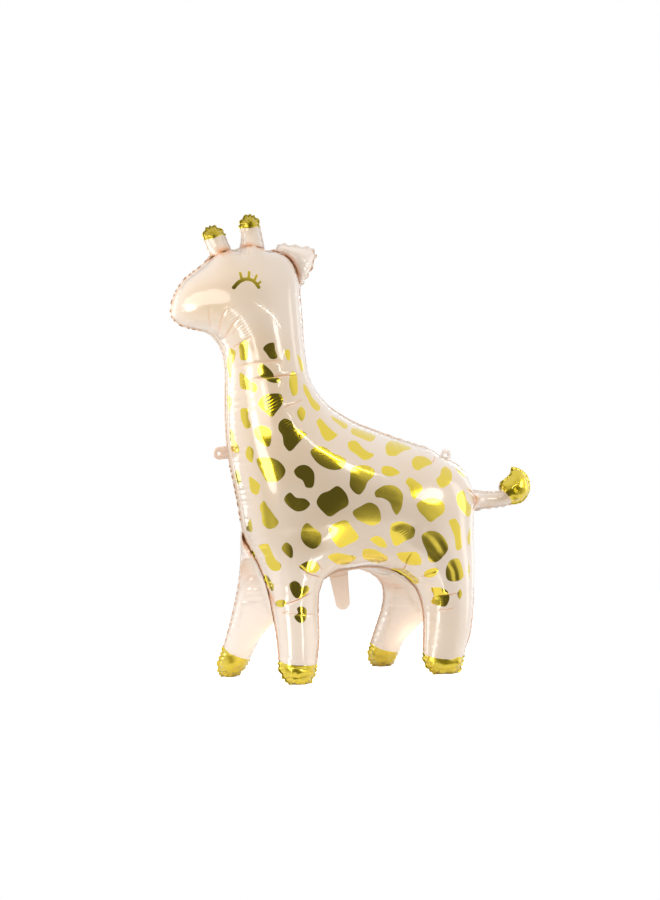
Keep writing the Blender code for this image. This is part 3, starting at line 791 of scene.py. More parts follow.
def lattice(low, high, step):
    """A triangular lattice over a box."""
    x, z = np.meshgrid(np.arange(low[0], high[0], step), np.arange(low[1], high[1], step * math.sqrt(0.75)))
    x[1::2] += step / 2
    return np.stack([x.ravel(), z.ravel()], axis=1)


def crease_rows(runs):
    """Points along each crease and along both its sides."""
    rows = []
    for run in runs:
        along = np.gradient(run, axis=0)
        along /= np.linalg.norm(along, axis=1, keepdims=True)
        across = np.stack([-along[:, 1], along[:, 0]], axis=1)
        rows += [run + offset * across for offset in CREASE_ROWS]
    return np.concatenate(rows)


def panel_points(body, outline, crease, rings, eye_runs, crease_runs):
    """The points inside the outline: rows along the seam, edges of the print, and a lattice between them."""
    normals = outward_normals(body)
    groups = [(crease, 0.0)]
    for inset in ROWS_FROM_EDGE:
        moved = body - inset * normals
        depth = loop_measures(body, moved)[0]
        groups.append((moved[depth > 0.97 * inset], SEAM_STEP * 0.45))
    rows = crease_rows(crease_runs)
    groups.append((rows[loop_measures(body, rows)[0] > ROWS_FROM_EDGE[0]], 0.0011))
    groups += [(ring, PRINT_STEP * 0.5) for ring in rings]
    eye = np.concatenate(eye_runs)
    margin = 2 * EYE_STEP
    patch = lattice(eye.min(axis=0) - 4 * margin, eye.max(axis=0) + 4 * margin, EYE_STEP)
    close = np.min([run_gap(run, patch)[0] for run in eye_runs], axis=0) < 2.2 * margin
    groups.append((patch[close], EYE_STEP * 0.7))
    grid = lattice(body.min(axis=0), body.max(axis=0), SKIN_STEP)
    depth = loop_measures(body, grid)[0]
    groups.append((grid[depth > ROWS_FROM_EDGE[-1] + SKIN_STEP / 3], SKIN_STEP * 0.55))
    tab_grid = lattice(outline.min(axis=0), outline.max(axis=0), SEAM_STEP * 1.3)
    on_tab = (loop_measures(body, tab_grid)[0] < 0.0) & (loop_measures(outline, tab_grid)[0] > SEAM_STEP)
    groups.append((tab_grid[on_tab], SEAM_STEP * 0.8))
    return groups


def triangulate(outline, holes, extra, crease_count):
    """Triangles over the outline and its holes, and the loops of points that bound them."""
    loops, edges, points = [], [], []
    for loop in (outline, *holes):
        first = len(points)
        order = np.arange(first, first + len(loop))
        loops.append(order[::-1] if loops else order)
        edges += [(first + i, first + (i + 1) % len(loop)) for i in range(len(loop))]
        points += list(loop)
    first = len(points)
    edges += [(first + i, first + i + 1) for i in range(crease_count - 1)]
    points += list(extra)
    result = delaunay_2d_cdt([Vector(p) for p in points], edges, [], 0, 1e-6)
    flat = np.array([tuple(v) for v in result[0]])
    faces = np.array(result[2])
    middle = flat[faces].mean(axis=1)
    keep = loop_measures(outline, middle)[0] > 0.0
    for hole in holes:
        keep &= ring_gap(hole, middle) > 0.0
    return flat, faces[keep], loops


def film_height(flat, faces, fixed):
    """Half the thickness of the inflated panel: a film under pressure that is held at the fixed points."""
    corners = flat[faces]
    opposite = np.roll(corners, -1, axis=1) - np.roll(corners, -2, axis=1)
    area = 0.5 * np.abs(opposite[:, 0, 0] * opposite[:, 1, 1] - opposite[:, 0, 1] * opposite[:, 1, 0])
    count = len(flat)

    def gathered(values):
        return sum(np.bincount(faces[:, i], values[:, i], count) for i in range(3))

    load = gathered(np.repeat(area[:, None] / 3, 3, axis=1))
    free = ~fixed & (load > 0)
    diagonal = gathered((opposite**2).sum(2) / (4 * area)[:, None])
    scale = np.where(free, 1.0 / np.where(diagonal > 0, diagonal, 1.0), 0.0)

    def stiffness_times(values):
        pull = (opposite * values[faces][..., None]).sum(1)
        return np.where(free, gathered((opposite * pull[:, None, :]).sum(2) / (4 * area)[:, None]), 0.0)

    height = np.zeros(count)
    left = np.where(free, load, 0.0)
    step = scale * left
    energy = left @ step
    smallest = 1e-10 * energy
    while energy > smallest:
        pushed = stiffness_times(step)
        length = energy / (step @ pushed)
        height += length * step
        left -= length * pushed
        ready = scale * left
        new_energy = left @ ready
        step = ready + new_energy / energy * step
        energy = new_energy
    return np.sqrt((FOIL_THICKNESS / 2) ** 2 + 2 * np.maximum(height, 0.0))


def gusset_side(gap):
    """Rounds the inner side of a leg where it would meet its mirror image."""
    radius = CROTCH_RADIUS
    apart = np.sqrt(np.maximum(gap**2 - radius**2, 0.0))
    merged = np.where(gap > 0, -np.sqrt(np.maximum(radius**2 - gap**2, 0.0)), gap - radius)
    return np.where(gap > radius, apart, merged)


def near_half(flat, faces, loops, half_thickness):
    """The near side panel, its inner side and the cut edge between them, as one closed mesh."""
    x, z = flat[:, 0], flat[:, 1]
    middle = stance(z)
    outer = np.stack([x, -(middle + half_thickness), z], axis=1)
    inner = np.stack([x, -gusset_side(middle - half_thickness), z], axis=1)
    count = len(flat)
    all_faces = [tuple(f) for f in faces] + [tuple(f[::-1] + count) for f in faces]
    for loop in loops:
        all_faces += [(b, a, a + count, b + count) for a, b in zip(loop, np.roll(loop, -1))]
    mesh = bpy.data.meshes.new("panel")
    mesh.from_pydata(np.concatenate([outer, inner]).tolist(), [], all_faces)
    return mesh


def mirrored(mesh):
    """Cuts the half at the mirror plane, mirrors it, and returns the points and triangles of the whole."""
    half = bpy.data.objects.new("panel", mesh)
    bpy.context.scene.collection.objects.link(half)
    mirror = half.modifiers.new("Mirror", "MIRROR")
    mirror.use_axis = (False, True, False)
    mirror.use_bisect_axis = (False, True, False)
    mirror.use_bisect_flip_axis = (False, True, False)
    mirror.merge_threshold = 0.00005
    mirror.bisect_threshold = 0.00001
    both = bpy.data.meshes.new_from_object(half.evaluated_get(bpy.context.evaluated_depsgraph_get()))
    bpy.data.objects.remove(half)
    whole = bmesh.new()
    whole.from_mesh(both)
    bmesh.ops.remove_doubles(whole, verts=whole.verts, dist=0.00002)
    bmesh.ops.triangulate(whole, faces=whole.faces)
    bmesh.ops.recalc_face_normals(whole, faces=whole.faces)
    whole.verts.index_update()
    points = np.array([v.co for v in whole.verts])
    triangles = np.array([[v.index for v in f.verts] for f in whole.faces])
    whole.free()
    return points, triangles


def set_legs(points):
    """The gusset sags, and each leg takes its own stance."""
    x, y, z = points.T.copy()
    down, apart = leg_share(z), stance(z)
    wide = np.where(apart > 0.0, apart, 1.0)
    side = np.where(apart > 0.0, np.clip(y / (0.6 * wide), -1.0, 1.0), 0.0)
    rear = smooth_step((x / UNIT - FRONT_LEGS_END) / (REAR_LEGS_START - FRONT_LEGS_END))
    near = [(1.0 - rear) * front + rear * back for front, back in zip(NEAR_FRONT_LEG, NEAR_REAR_LEG)]
    far = [(1.0 - rear) * front + rear * back for front, back in zip(FAR_FRONT_LEG, FAR_REAR_LEG)]
    foot, bow, slimness = [np.where(side < 0.0, a, b) for a, b in zip(near, far)]
    slimness = slimness * np.abs(side) * slimmer_share(down)
    middle = (1.0 - rear) * FRONT_LEG_X * UNIT + rear * (REAR_LEG_X * UNIT + REAR_LEG_SLOPE * z)
    x = middle + (x - middle) * (1.0 - slimness)
    x += np.abs(side) * (foot * down + bow * np.sin(np.pi * np.minimum(down, 1.0)))
    z -= np.where(np.abs(y) < apart, GUSSET_SAG * (1.0 - (y / wide) ** 2), 0.0)
    return np.stack([x, y, z], axis=1)


def vertex_normals(points, triangles):
    """Unit normals at the points, averaged over the triangles round each."""
    a, b, c = (points[triangles[:, i]] for i in range(3))
    face = np.cross(b - a, c - a)
    total = np.stack([sum(np.bincount(triangles[:, i], face[:, k], len(points)) for i in range(3))
                      for k in range(3)], axis=1)
    return total / np.maximum(np.linalg.norm(total, axis=1, keepdims=True), 1e-12)


def soft_noise(points, size, seed):
    """Smooth noise from -1 to 1 whose bumps are about one size across."""
    moved = points / size + 17.0 * seed
    return np.array([noise.noise(Vector(p)) for p in moved])


def seam_puckers(depth, along, length):
    """How far the skin sinks at the short creases that run in from the seam."""
    draw = np.random.default_rng(RANDOM_SEED)
    count = int(length / PUCKER_PITCH)
    at = (np.arange(count) + draw.uniform(-0.28, 0.28, count)) * length / count
    sink = PUCKER_DEPTH * draw.uniform(0.25, 1.3, count) ** 1.5
    reach = PUCKER_REACH * draw.uniform(0.6, 1.9, count)
    slant = draw.uniform(-0.35, 0.35, count)
    inward = np.maximum(depth - SEAM_WIDTH, 0.0)
    total = np.zeros(len(depth))
    right = np.searchsorted(at, along)
    for k in (right - 2, right - 1, right, right + 1):
        k = k % count
        offset = along - at[k]
        offset = (offset + length / 2) % length - length / 2
        offset = offset - slant[k] * inward
        width = PUCKER_WIDTH + 0.10 * inward
        fade = np.exp(-inward / reach[k]) * smooth_step(inward / 0.003)
        total += sink[k] * fade * np.exp(-(offset / width) ** 2)
    return total


def edge_waves(flat):
    """How far the cut edge swings in and out."""
    height = np.full(len(flat), EDGE_SCALLOP)
    for low, high, swing in EDGE_WAVES:
        height[((flat > from_share(low)) & (flat < from_share(high))).all(axis=1)] = swing
    return height


def close_to(run, flat, reach):
    """Which points lie within reach of the box round a run."""
    low, high = run.min(axis=0) - reach, run.max(axis=0) + reach
    return np.flatnonzero(((flat > low) & (flat < high)).all(axis=1))


def near_run(run, flat, reach):
    """The points within reach of a run, with their gaps and shares along it."""
    near = close_to(run, flat, reach)
    if not len(near):
        return near, np.zeros(0), np.zeros(0)
    return near, *run_gap(run, flat[near])


def taper(share):
    """Fades a crease towards both of its ends."""
    return 0.15 + 0.85 * smooth_step(share / 0.2) * smooth_step((1.0 - share) / 0.2)


def crease_sink(flat, creases, folds):
    """How far the skin sinks at the creases and folds, and how much painted brown shade the creases get."""
    sink, painted_shade_and_weld = np.zeros(len(flat)), np.zeros(len(flat))
    for run, depth, width, tint in creases:
        near, gap, share = near_run(run, flat, 5 * width)
        sink[near] = np.maximum(sink[near], depth * taper(share) * np.exp(-gap / width))
        shade = tint * taper(share) * np.exp(-(gap / (0.55 * width + 0.0003)) ** 2)
        painted_shade_and_weld[near] = np.maximum(painted_shade_and_weld[near], shade)
    for run, depth, width in folds:
        near, gap, share = near_run(run, flat, 3 * width)
        sink[near] += depth * taper(share) * np.exp(-(gap / width) ** 2)
    return sink, painted_shade_and_weld


def fold_shade(flat, shades, far_side):
    """How much painted brown shade the deep folds get on the near or on the far side panel; the ripple bands
    use it too.
    """
    painted_shade_and_weld = np.zeros(len(flat))
    for run, half_width, strength, is_far in shades:
        near, gap, share = near_run(run, flat, 3 * half_width)
        amount = strength * taper(share) * np.exp(-(gap / half_width) ** 2)
        painted_shade_and_weld[near] = np.maximum(painted_shade_and_weld[near], np.where(far_side[near] == is_far, amount, 0.0))
    return painted_shade_and_weld


def seam_shade(flat, far_side, depth, along, inward):
    """How much painted brown shade the seam gets, solid or in dashes at the puckered stretches."""
    x, z = flat.T / UNIT
    on_seam = (1.0 - smooth_step((depth - 0.0010) / 0.0034)) * (1.0 - smooth_step(inward / 0.006))
    wander = np.sin(2 * np.pi * along / DASH_PITCH + 1.4 * np.sin(2 * np.pi * along / DASH_DRIFT))
    dashes = smooth_step(2.2 * wander + 0.6)
    painted_shade_and_weld = np.zeros(len(flat))
    for low, high, side, strength, dashed in SEAM_SHADE_MARKS:
        here = (x > low[0]) & (x < high[0]) & (z > low[1]) & (z < high[1])
        if side != "both":
            here &= far_side == (side == "far")
        amount = strength * on_seam * (dashes if dashed else 1.0)
        painted_shade_and_weld = np.where(here, np.maximum(painted_shade_and_weld, amount), painted_shade_and_weld)
    return painted_shade_and_weld


def tip_gaps(flat, far_side, sight):
    """The distance from the gold of the horn tips, hooves and tuft, negative within it."""
    x, z = flat.T
    gap = np.full(len(flat), FAR_AWAY)

    def line(points):
        run = sight.places(points)
        return run[np.argsort(run[:, 0])]

    for points, span in ((FRONT_HORN_GOLD, FRONT_HORN_SPAN), (REAR_HORN_GOLD, REAR_HORN_SPAN)):
        run = line(points)
        here = (x > span[0] * UNIT) & (x < span[1] * UNIT) & (z > HORN_LEVEL)
        gap = np.where(here, np.minimum(gap, np.interp(x, run[:, 0], run[:, 1]) - z), gap)
    run = sight.places(TUFT_GOLD)
    run = run[np.argsort(run[:, 1])]
    here = (x > TUFT_CORNER[0]) & (z > TUFT_CORNER[1])
    gap = np.where(here, np.minimum(gap, np.interp(z, run[:, 1], run[:, 0]) - x), gap)
    hooves = ((NEAR_FRONT_HOOF_GOLD, False, False), (NEAR_REAR_HOOF_GOLD, False, True),
              (FAR_FRONT_HOOF_GOLD, True, False), (FAR_REAR_HOOF_GOLD, True, True))
    for points, is_far, is_rear in hooves:
        run = line(points)
        here = (z < HOOF_LEVEL) & (far_side == is_far) & ((x > 0.0) == is_rear)
        gap = np.where(here, np.minimum(gap, z - np.interp(x, run[:, 0], run[:, 1])), gap)
    return gap


def print_gap(flat, rings, eye_runs):
    """The distance of each point from the printed spots and the eye, negative within them."""
    gap = np.full(len(flat), FAR_AWAY)
    for ring in rings:
        near = close_to(ring, flat, FAR_AWAY)
        gap[near] = np.minimum(gap[near], ring_gap(ring, flat[near]))
    for run, half_width in eye_runs:
        near = close_to(run, flat, FAR_AWAY)
        gap[near] = np.minimum(gap[near], run_gap(run, flat[near])[0] - half_width)
    return gap


def on_ear(flat):
    """1 on the ear and 0 elsewhere."""
    x, z = flat.T / UNIT
    crease_x = np.interp(z, [p[1] for p in reversed(EAR_CREASE)], [p[0] for p in reversed(EAR_CREASE)])
    return ((z > EAR_CREASE[-1][1]) & (x > crease_x)).astype(float)


def add_attribute(mesh, name, values):
    """Stores one number for each point of the mesh under a name."""
    layer = mesh.attributes.new(name, "FLOAT", "POINT")
    layer.data.foreach_set("value", np.asarray(values, dtype=np.float32))


def cut_soles(mesh):
    """Cuts the hooves flat at the floor and closes the cuts."""
    shape = bmesh.new()
    shape.from_mesh(mesh)
    cut = bmesh.ops.bisect_plane(shape, geom=shape.verts[:] + shape.edges[:] + shape.faces[:],
                                 plane_co=(0, 0, 0), plane_no=(0, 0, -1), clear_outer=True, dist=0.00002)
    rim = [e for e in cut["geom_cut"] if isinstance(e, bmesh.types.BMEdge)]
    bmesh.ops.edgeloop_fill(shape, edges=rim)
    bmesh.ops.triangulate(shape, faces=shape.faces)
    bmesh.ops.recalc_face_normals(shape, faces=shape.faces)
    shape.to_mesh(mesh)
    shape.free()


class Places:
    """What is known of each point of the skin before it is crumpled."""

    def __init__(self, points, body, sight):
        self.points = points
        self.flat = points[:, [0, 2]]
        self.depth, self.along, self.out = loop_measures(body, self.flat)
        self.length = np.linalg.norm(np.roll(body, -1, axis=0) - body, axis=1).sum()
        self.outer = np.abs(points[:, 1]) > stance(points[:, 2]) - 1e-5
        self.inward = stance(points[:, 2]) - np.abs(points[:, 1])
        self.far = points[:, 1] > 0.0
        self.on_tuft = self.flat[:, 0] > TUFT_START * UNIT
        self.tips = tip_gaps(self.flat, self.far, sight)
        wander = 0.9 * np.sin(2 * np.pi * self.along / LUMP_DRIFT)
        lumps = np.abs(np.sin(np.pi * self.along / TIP_PITCH + wander)) - LUMP_MIDDLE
        self.lumps = lumps * np.where(self.on_tuft, TUFT_LUMP_SHARE, 1.0)


def film_bumps(at):
    """How far the film stands out: soft unevenness, and the crumple and lumps of the gold tips."""
    film = smooth_step((at.depth - SEAM_WIDTH) / 0.004)
    low_tuft = smooth_step((TUFT_FLAT_ABOVE * UNIT - at.flat[:, 1]) / 0.016)
    crumple = smooth_step(-at.tips / CRUMPLE_FADE) * np.where(at.on_tuft, low_tuft, 1.0)
    ridges = 1.0 - 2.4 * np.abs(soft_noise(at.points, CRUMPLE_SIZE, CRUMPLE_SEED))
    folds_in = TIP_FOLD * at.lumps * np.exp(-np.maximum(at.depth - SEAM_WIDTH, 0.0) / TIP_FOLD_REACH)
    soft = soft_noise(at.points, SOFT_BUMP_SIZE, SOFT_BUMP_SEED) * SOFT_BUMP_DEPTH * film
    return soft + crumple * film * (CRUMPLE_DEPTH * ridges + folds_in)


def painted_shade_tone(at, crease_painted_shade, shades, eye_gap):
    """How much painted brown shade each point gets: creases, deep folds, the seam, the hollows of the tips
    and the eye.
    """
    painted_shade_and_weld = np.where(at.outer, crease_painted_shade, 0.0)
    painted_shade_and_weld = np.maximum(painted_shade_and_weld, np.where(at.outer | at.far, fold_shade(at.flat, shades, at.far), 0.0))
    painted_shade_and_weld = np.maximum(painted_shade_and_weld, seam_shade(at.flat, at.far, at.depth, at.along, at.inward))
    # Painted shade in the hollows between the lumps and over the gold of the tips
    hollows = smooth_step(-at.lumps / 0.5 - 0.2) * np.exp(-np.maximum(at.depth, 0.0) / TIP_FOLD_REACH)
    tip_shade = np.where(at.flat[:, 1] > HORNS_FROM * UNIT, HORN_TIP_SHADE, HOOF_SHADE)
    painted_shade_and_weld = np.maximum(painted_shade_and_weld, (tip_shade + 0.5 * hollows) * smooth_step(-at.tips / 0.003))
    return np.where(at.outer & (eye_gap < -0.0006), EYE_PAINTED_SHADE, painted_shade_and_weld)


def pale_edge_and_painted_light_tone(at):
    """How pale each point is: the cut edge, and painted light on the ear and the lower legs."""
    pale_edge_and_painted_light = np.where(at.depth < 0.0, 1.0, EDGE_PALENESS * (1.0 - smooth_step((at.depth - 0.003) / 0.003)))
    pale_edge_and_painted_light = np.maximum(pale_edge_and_painted_light, EAR_PAINTED_LIGHT * on_ear(at.flat))
    legs = LEG_PAINTED_LIGHT * smooth_step((PAINTED_LEG_LIGHT_TOP - at.flat[:, 1]) / PAINTED_LEG_LIGHT_EASING)
    return np.maximum(pale_edge_and_painted_light, legs * np.where(at.far, 1.0, 0.5))


def wave_edge(placed, at):
    """Waves the flat seam from side to side, and swings its cut edge in and out."""
    on_flange = 1.0 - smooth_step(np.abs(at.depth) / SEAM_WIDTH - 0.2)
    on_flange = np.where(at.depth < 0.0, 1.0, on_flange)
    turns = 2 * np.pi * at.along
    wave = np.sin(turns / PUCKER_PITCH + 2.0 * np.sin(turns / FLANGE_DRIFT))
    placed[:, 1] += FLANGE_WAVE * wave * on_flange
    scallop = edge_waves(at.flat) * np.sin(turns / EDGE_PITCH + 1.5 * np.sin(turns / EDGE_DRIFT))
    at_tip = smooth_step((0.004 - at.tips) / 0.006)
    near_edge = 1.0 - smooth_step(at.depth / 0.011)
    swing = scallop * on_flange * (1.0 - at_tip) + TIP_SCALLOP * at.lumps * at_tip * near_edge
    placed[:, [0, 2]] += swing[:, None] * at.out


def make_skin():
    """The whole printed skin as one closed mesh."""
    body = profile()
    shift = -(body[:, 0].min() + body[:, 0].max()) / 2
    sight = Sight(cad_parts["balloon_envelope"], shift)
    spots = NECK_SPOTS + SHOULDER_SPOTS + FLANK_SPOTS + LEG_SPOTS
    rings = [smooth_ring(sight.places(spot), PRINT_STEP) for spot in spots]
    eye_runs = [(smooth_run(sight.places(points), PRINT_STEP), half) for points, half in EYE_STROKES]
    creases = [crease[:-1] for crease in sight.runs(CREASES, CREASE_STEP)]
    folds = [fold[:-1] for fold in sight.runs(SOFT_FOLDS, SKIN_STEP)]
    shades = sight.runs(FOLD_SHADES, SKIN_STEP)
    ripples = sight.runs(RIPPLES, SKIN_STEP)

    ear_crease = smooth_run(from_share(EAR_CREASE), SEAM_STEP)
    outline, chest_hole = add_tab(body, from_share(CHEST_TAB_AT), CHEST_TAB_WIDTH, CHEST_TAB_LENGTH)
    outline, back_hole = add_tab(outline, from_share(BACK_TAB_AT), BACK_TAB_WIDTH, BACK_TAB_LENGTH)
    holes = (chest_hole, back_hole)
    groups = panel_points(body, outline, ear_crease, rings, [run for run, _ in eye_runs],
                          [crease[0] for crease in creases])
    extra = thin_out(groups, np.concatenate([outline, *holes]))
    flat, faces, loops = triangulate(outline, holes, extra, len(ear_crease))
    on_crease = run_gap(ear_crease, flat)[0] < 1e-5
    held = (loop_measures(body, flat)[0] < 1.02 * SEAM_WIDTH) | on_crease
    points, triangles = mirrored(near_half(flat, faces, loops, film_height(flat, faces, held)))

    at = Places(points, body, sight)
    sink, crease_painted_shade = crease_sink(at.flat, creases, folds)
    calm = np.where(at.flat[:, 0] > TAIL_START * UNIT, TAIL_PUCKER_SHARE, 1.0)
    sink = np.where(at.outer, sink, 0.0) + seam_puckers(at.depth, at.along, at.length) * calm
    placed = set_legs(points)
    placed += (film_bumps(at) - sink)[:, None] * vertex_normals(placed, triangles)
    wave_edge(placed, at)
    placed[:, 0] += shift

    mesh = bpy.data.meshes.new("balloon_skin")
    mesh.from_pydata(placed.tolist(), [], triangles.tolist())
    spots_gap = np.where(at.outer, print_gap(at.flat, rings, eye_runs), FAR_AWAY)
    eye_gap = np.min([run_gap(run, at.flat)[0] - half for run, half in eye_runs], axis=0)
    add_attribute(mesh, "print_gap", np.minimum(spots_gap, at.tips))
    # Painted shade and painted light travel as numbers on the points
    add_attribute(mesh, "painted_shade_and_weld", painted_shade_tone(at, crease_painted_shade, shades, eye_gap))
    add_attribute(mesh, "pale_edge_and_painted_light", pale_edge_and_painted_light_tone(at))
    add_attribute(mesh, "tip", smooth_step(-at.tips / 0.001))
    add_attribute(mesh, "ripple", np.where(at.outer, fold_shade(at.flat, ripples, at.far), 0.0))
    cut_soles(mesh)
    return mesh


def finish_piece(name, mesh, finish, node):
    """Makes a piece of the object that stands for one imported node."""
    piece = bpy.data.objects.new(name, mesh)
    mesh.materials.append(finish)
    mesh.shade_smooth()
    bpy.context.scene.collection.objects.link(piece)
    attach(piece, "root")
    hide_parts(node)
    return piece


def make_camera():
    """The camera at the photograph's angle."""
    place, forward, right, up = camera_axes()
    data = bpy.data.cameras.new("camera")
    data.sensor_fit = "VERTICAL"
    data.sensor_height = 36.0
    data.sensor_width = 36.0
    data.lens = 36.0 * CAMERA_DISTANCE / (PICTURE_HEIGHT * POINT_SIZE)
    camera = bpy.data.objects.new("camera", data)
    turn = Matrix([right, up, -forward]).transposed().to_4x4()
    camera.matrix_world = Matrix.Translation(Vector(place)) @ turn
    bpy.context.scene.collection.objects.link(camera)
    bpy.context.scene.camera = camera


class Nodes:
    """A short way to add and join the nodes of one tree."""

    def __init__(self, tree):
        self.tree = tree

    def add(self, kind, **settings):
        """A new node with its settings."""
        node = self.tree.nodes.new(kind)
        for name, value in settings.items():
            setattr(node, name, value)
        return node

    def link(self, output, socket):
        """Joins an output to a socket."""
        self.tree.links.new(output, socket)

    def number(self, operation, *values, clamp=False):
        """A Math node with numbers or outputs as its inputs; returns its output."""
        node = self.add("ShaderNodeMath", operation=operation, use_clamp=clamp)
        for socket, value in zip(node.inputs, values):
            if isinstance(value, (int, float)):
                socket.default_value = value
            else:
                self.link(value, socket)
        return node.outputs[0]

    def ramp(self, value, low, high, start=0.0, end=1.0):
        """Smoothly carries a value from one range to another."""
        node = self.add("ShaderNodeMapRange", interpolation_type="SMOOTHSTEP")
        self.link(value, node.inputs["Value"])
        for name, number in (("From Min", low), ("From Max", high), ("To Min", start), ("To Max", end)):
            node.inputs[name].default_value = number
        return node.outputs["Result"]

    def mix(self, share, first, second, blend="MIX"):
        """A colour mix; each colour is an output or a fixed colour."""
        node = self.add("ShaderNodeMix", data_type="RGBA", blend_type=blend)
        for socket, value in ((node.inputs[0], share), (node.inputs[6], first), (node.inputs[7], second)):
            if isinstance(value, (int, float, tuple)):
                socket.default_value = value
            else:
                self.link(value, socket)
        return node.outputs[2]

    def clouds(self, place, scale):
        """Soft noise at a place; returns the node."""
        node = self.add("ShaderNodeTexNoise")
        node.inputs["Scale"].default_value = scale
        self.link(place, node.inputs["Vector"])
        return node

    def attribute(self, name):
        """The number that the mesh keeps under a name."""
        return self.add("ShaderNodeAttribute", attribute_name=name).outputs["Fac"]


def new_material(name):
    """An empty material with a Principled shader, and its node helper."""
    material = bpy.data.materials.new(name)
    material.use_nodes = True
    return material, Nodes(material.node_tree), material.node_tree.nodes["Principled BSDF"]


def film_ripple_group():
    """A node group for the fine unevenness of thin film: drawn lines across, and a soft orange-peel."""
    tree = bpy.data.node_groups.new("film_ripple", "ShaderNodeTree")
    tree.interface.new_socket("Place", in_out="INPUT", socket_type="NodeSocketVector")
    for name in ("Line Pitch", "Line Share", "Peel Scale"):
        tree.interface.new_socket(name, in_out="INPUT", socket_type="NodeSocketFloat")
    tree.interface.new_socket("Height", in_out="OUTPUT", socket_type="NodeSocketFloat")
    nodes = Nodes(tree)
    given = nodes.add("NodeGroupInput")
    result = nodes.add("NodeGroupOutput")
    peel = nodes.add("ShaderNodeTexNoise")
    nodes.link(given.outputs["Place"], peel.inputs["Vector"])
    nodes.link(given.outputs["Peel Scale"], peel.inputs["Scale"])
    peel.inputs["Detail"].default_value = 2.0
    drift = nodes.clouds(given.outputs["Place"], LINE_DRIFT_SCALE)
    split = nodes.add("ShaderNodeSeparateXYZ")
    nodes.link(given.outputs["Place"], split.inputs[0])
    across = nodes.number("SUBTRACT", nodes.number("MULTIPLY", split.outputs["Z"], LINE_WAY[0]),
                          nodes.number("MULTIPLY", split.outputs["X"], LINE_WAY[1]))
    turns = nodes.number("MULTIPLY", across, 2 * math.pi)
    turns = nodes.number("DIVIDE", turns, given.outputs["Line Pitch"])
    turns = nodes.number("ADD", turns, nodes.number("MULTIPLY", drift.outputs["Fac"], LINE_DRIFT))
    lines = nodes.number("MULTIPLY", nodes.number("SINE", turns), given.outputs["Line Share"])
    soft = nodes.number("MULTIPLY", peel.outputs["Fac"], 0.6)
    nodes.link(nodes.number("ADD", soft, lines), result.inputs["Height"])
    return tree


def film_bump(nodes, shader, place, ripple, pitch, share, peel):
    """Gives a film material its ripples; the peel is its scale and its strength."""
    group = nodes.add("ShaderNodeGroup", node_tree=ripple)
    nodes.link(place, group.inputs["Place"])
    group.inputs["Line Pitch"].default_value = pitch
    group.inputs["Peel Scale"].default_value = peel[0]
    if isinstance(share, float):
        group.inputs["Line Share"].default_value = share
    else:
        nodes.link(share, group.inputs["Line Share"])
    bump = nodes.add("ShaderNodeBump")
    bump.inputs["Strength"].default_value = peel[1]
    bump.inputs["Distance"].default_value = BUMP_HEIGHT
    nodes.link(group.outputs["Height"], bump.inputs["Height"])
    nodes.link(bump.outputs["Normal"], shader.inputs["Normal"])


def skin_material(ripple):
    """Glossy cream film with mirror-gold print."""
    material, nodes, shader = new_material("cream_and_gold_foil")
    gap = nodes.attribute("print_gap")
    gold = nodes.ramp(gap, 0.0004, -0.0004)
    rim = nodes.ramp(gap, -0.0014, 0.0002, 0.0, 0.5)
    painted_shade_and_weld = nodes.attribute("painted_shade_and_weld")
    place = nodes.add("ShaderNodeTexCoord").outputs["Object"]
    cloud = nodes.clouds(place, CLOUD_SCALE)
    facing = nodes.add("ShaderNodeLayerWeight")
    facing.inputs["Blend"].default_value = 0.45
    cream = nodes.mix(nodes.ramp(cloud.outputs["Fac"], 0.35, 0.7), CREAM, TAN)
    # Painted sheen: paler pink where the film turns away
    cream = nodes.mix(facing.outputs["Facing"], cream, PAINTED_SHEEN_PINK)
    # The pale cut edge, and painted light on the ear and legs
    cream = nodes.mix(nodes.attribute("pale_edge_and_painted_light"), cream, PALE_EDGE_AND_PAINTED_LIGHT)
    # Painted shade: orange-brown, and nearly black in the deepest folds
    cream = nodes.mix(painted_shade_and_weld, cream, SHADE_AND_WELD_BROWN)
    cream = nodes.mix(nodes.ramp(painted_shade_and_weld, 0.62, 1.0), cream, DEEP_SHADE_BROWN)
    yellow = nodes.mix(rim, GOLD, GOLD_RIM)
    # Painted shade darkens the gold too
    yellow = nodes.mix(nodes.number("MULTIPLY", painted_shade_and_weld, 0.8), yellow, GOLD_PAINTED_SHADE)
    nodes.link(nodes.mix(gold, cream, yellow), shader.inputs["Base Color"])
    # Painted shade is partly metallic, so it mirrors the cream as orange
    mirror = nodes.number("MAXIMUM", gold, nodes.number("MULTIPLY", painted_shade_and_weld, 0.35))
    nodes.link(nodes.ramp(mirror, 0.0, 1.0, 0.08, 1.0), shader.inputs["Metallic"])
    satin = nodes.number("MULTIPLY", nodes.attribute("tip"), TIP_ROUGHNESS)
    roughness = nodes.number("ADD", nodes.ramp(gold, 0.0, 1.0, FILM_ROUGHNESS, GOLD_ROUGHNESS), satin)
    nodes.link(roughness, shader.inputs["Roughness"])
    # No varnish where the shade is painted
    bare = nodes.number("SUBTRACT", 1.0, painted_shade_and_weld)
    varnish = nodes.number("MULTIPLY", nodes.ramp(gold, 0.0, 1.0, FILM_VARNISH, 1.0), bare)
    nodes.link(varnish, shader.inputs["Coat Weight"])
    shader.inputs["Coat Roughness"].default_value = VARNISH_ROUGHNESS
    shader.inputs["Coat IOR"].default_value = VARNISH_INDEX
    nodes.link(nodes.ramp(gold, 0.0, 1.0, FILM_SHEEN, 0.0), shader.inputs["Sheen Weight"])
    shader.inputs["Sheen Roughness"].default_value = SHEEN_ROUGHNESS
    film_bump(nodes, shader, place, ripple, RIPPLE_PITCH, nodes.attribute("ripple"), FILM_PEEL)
    return material


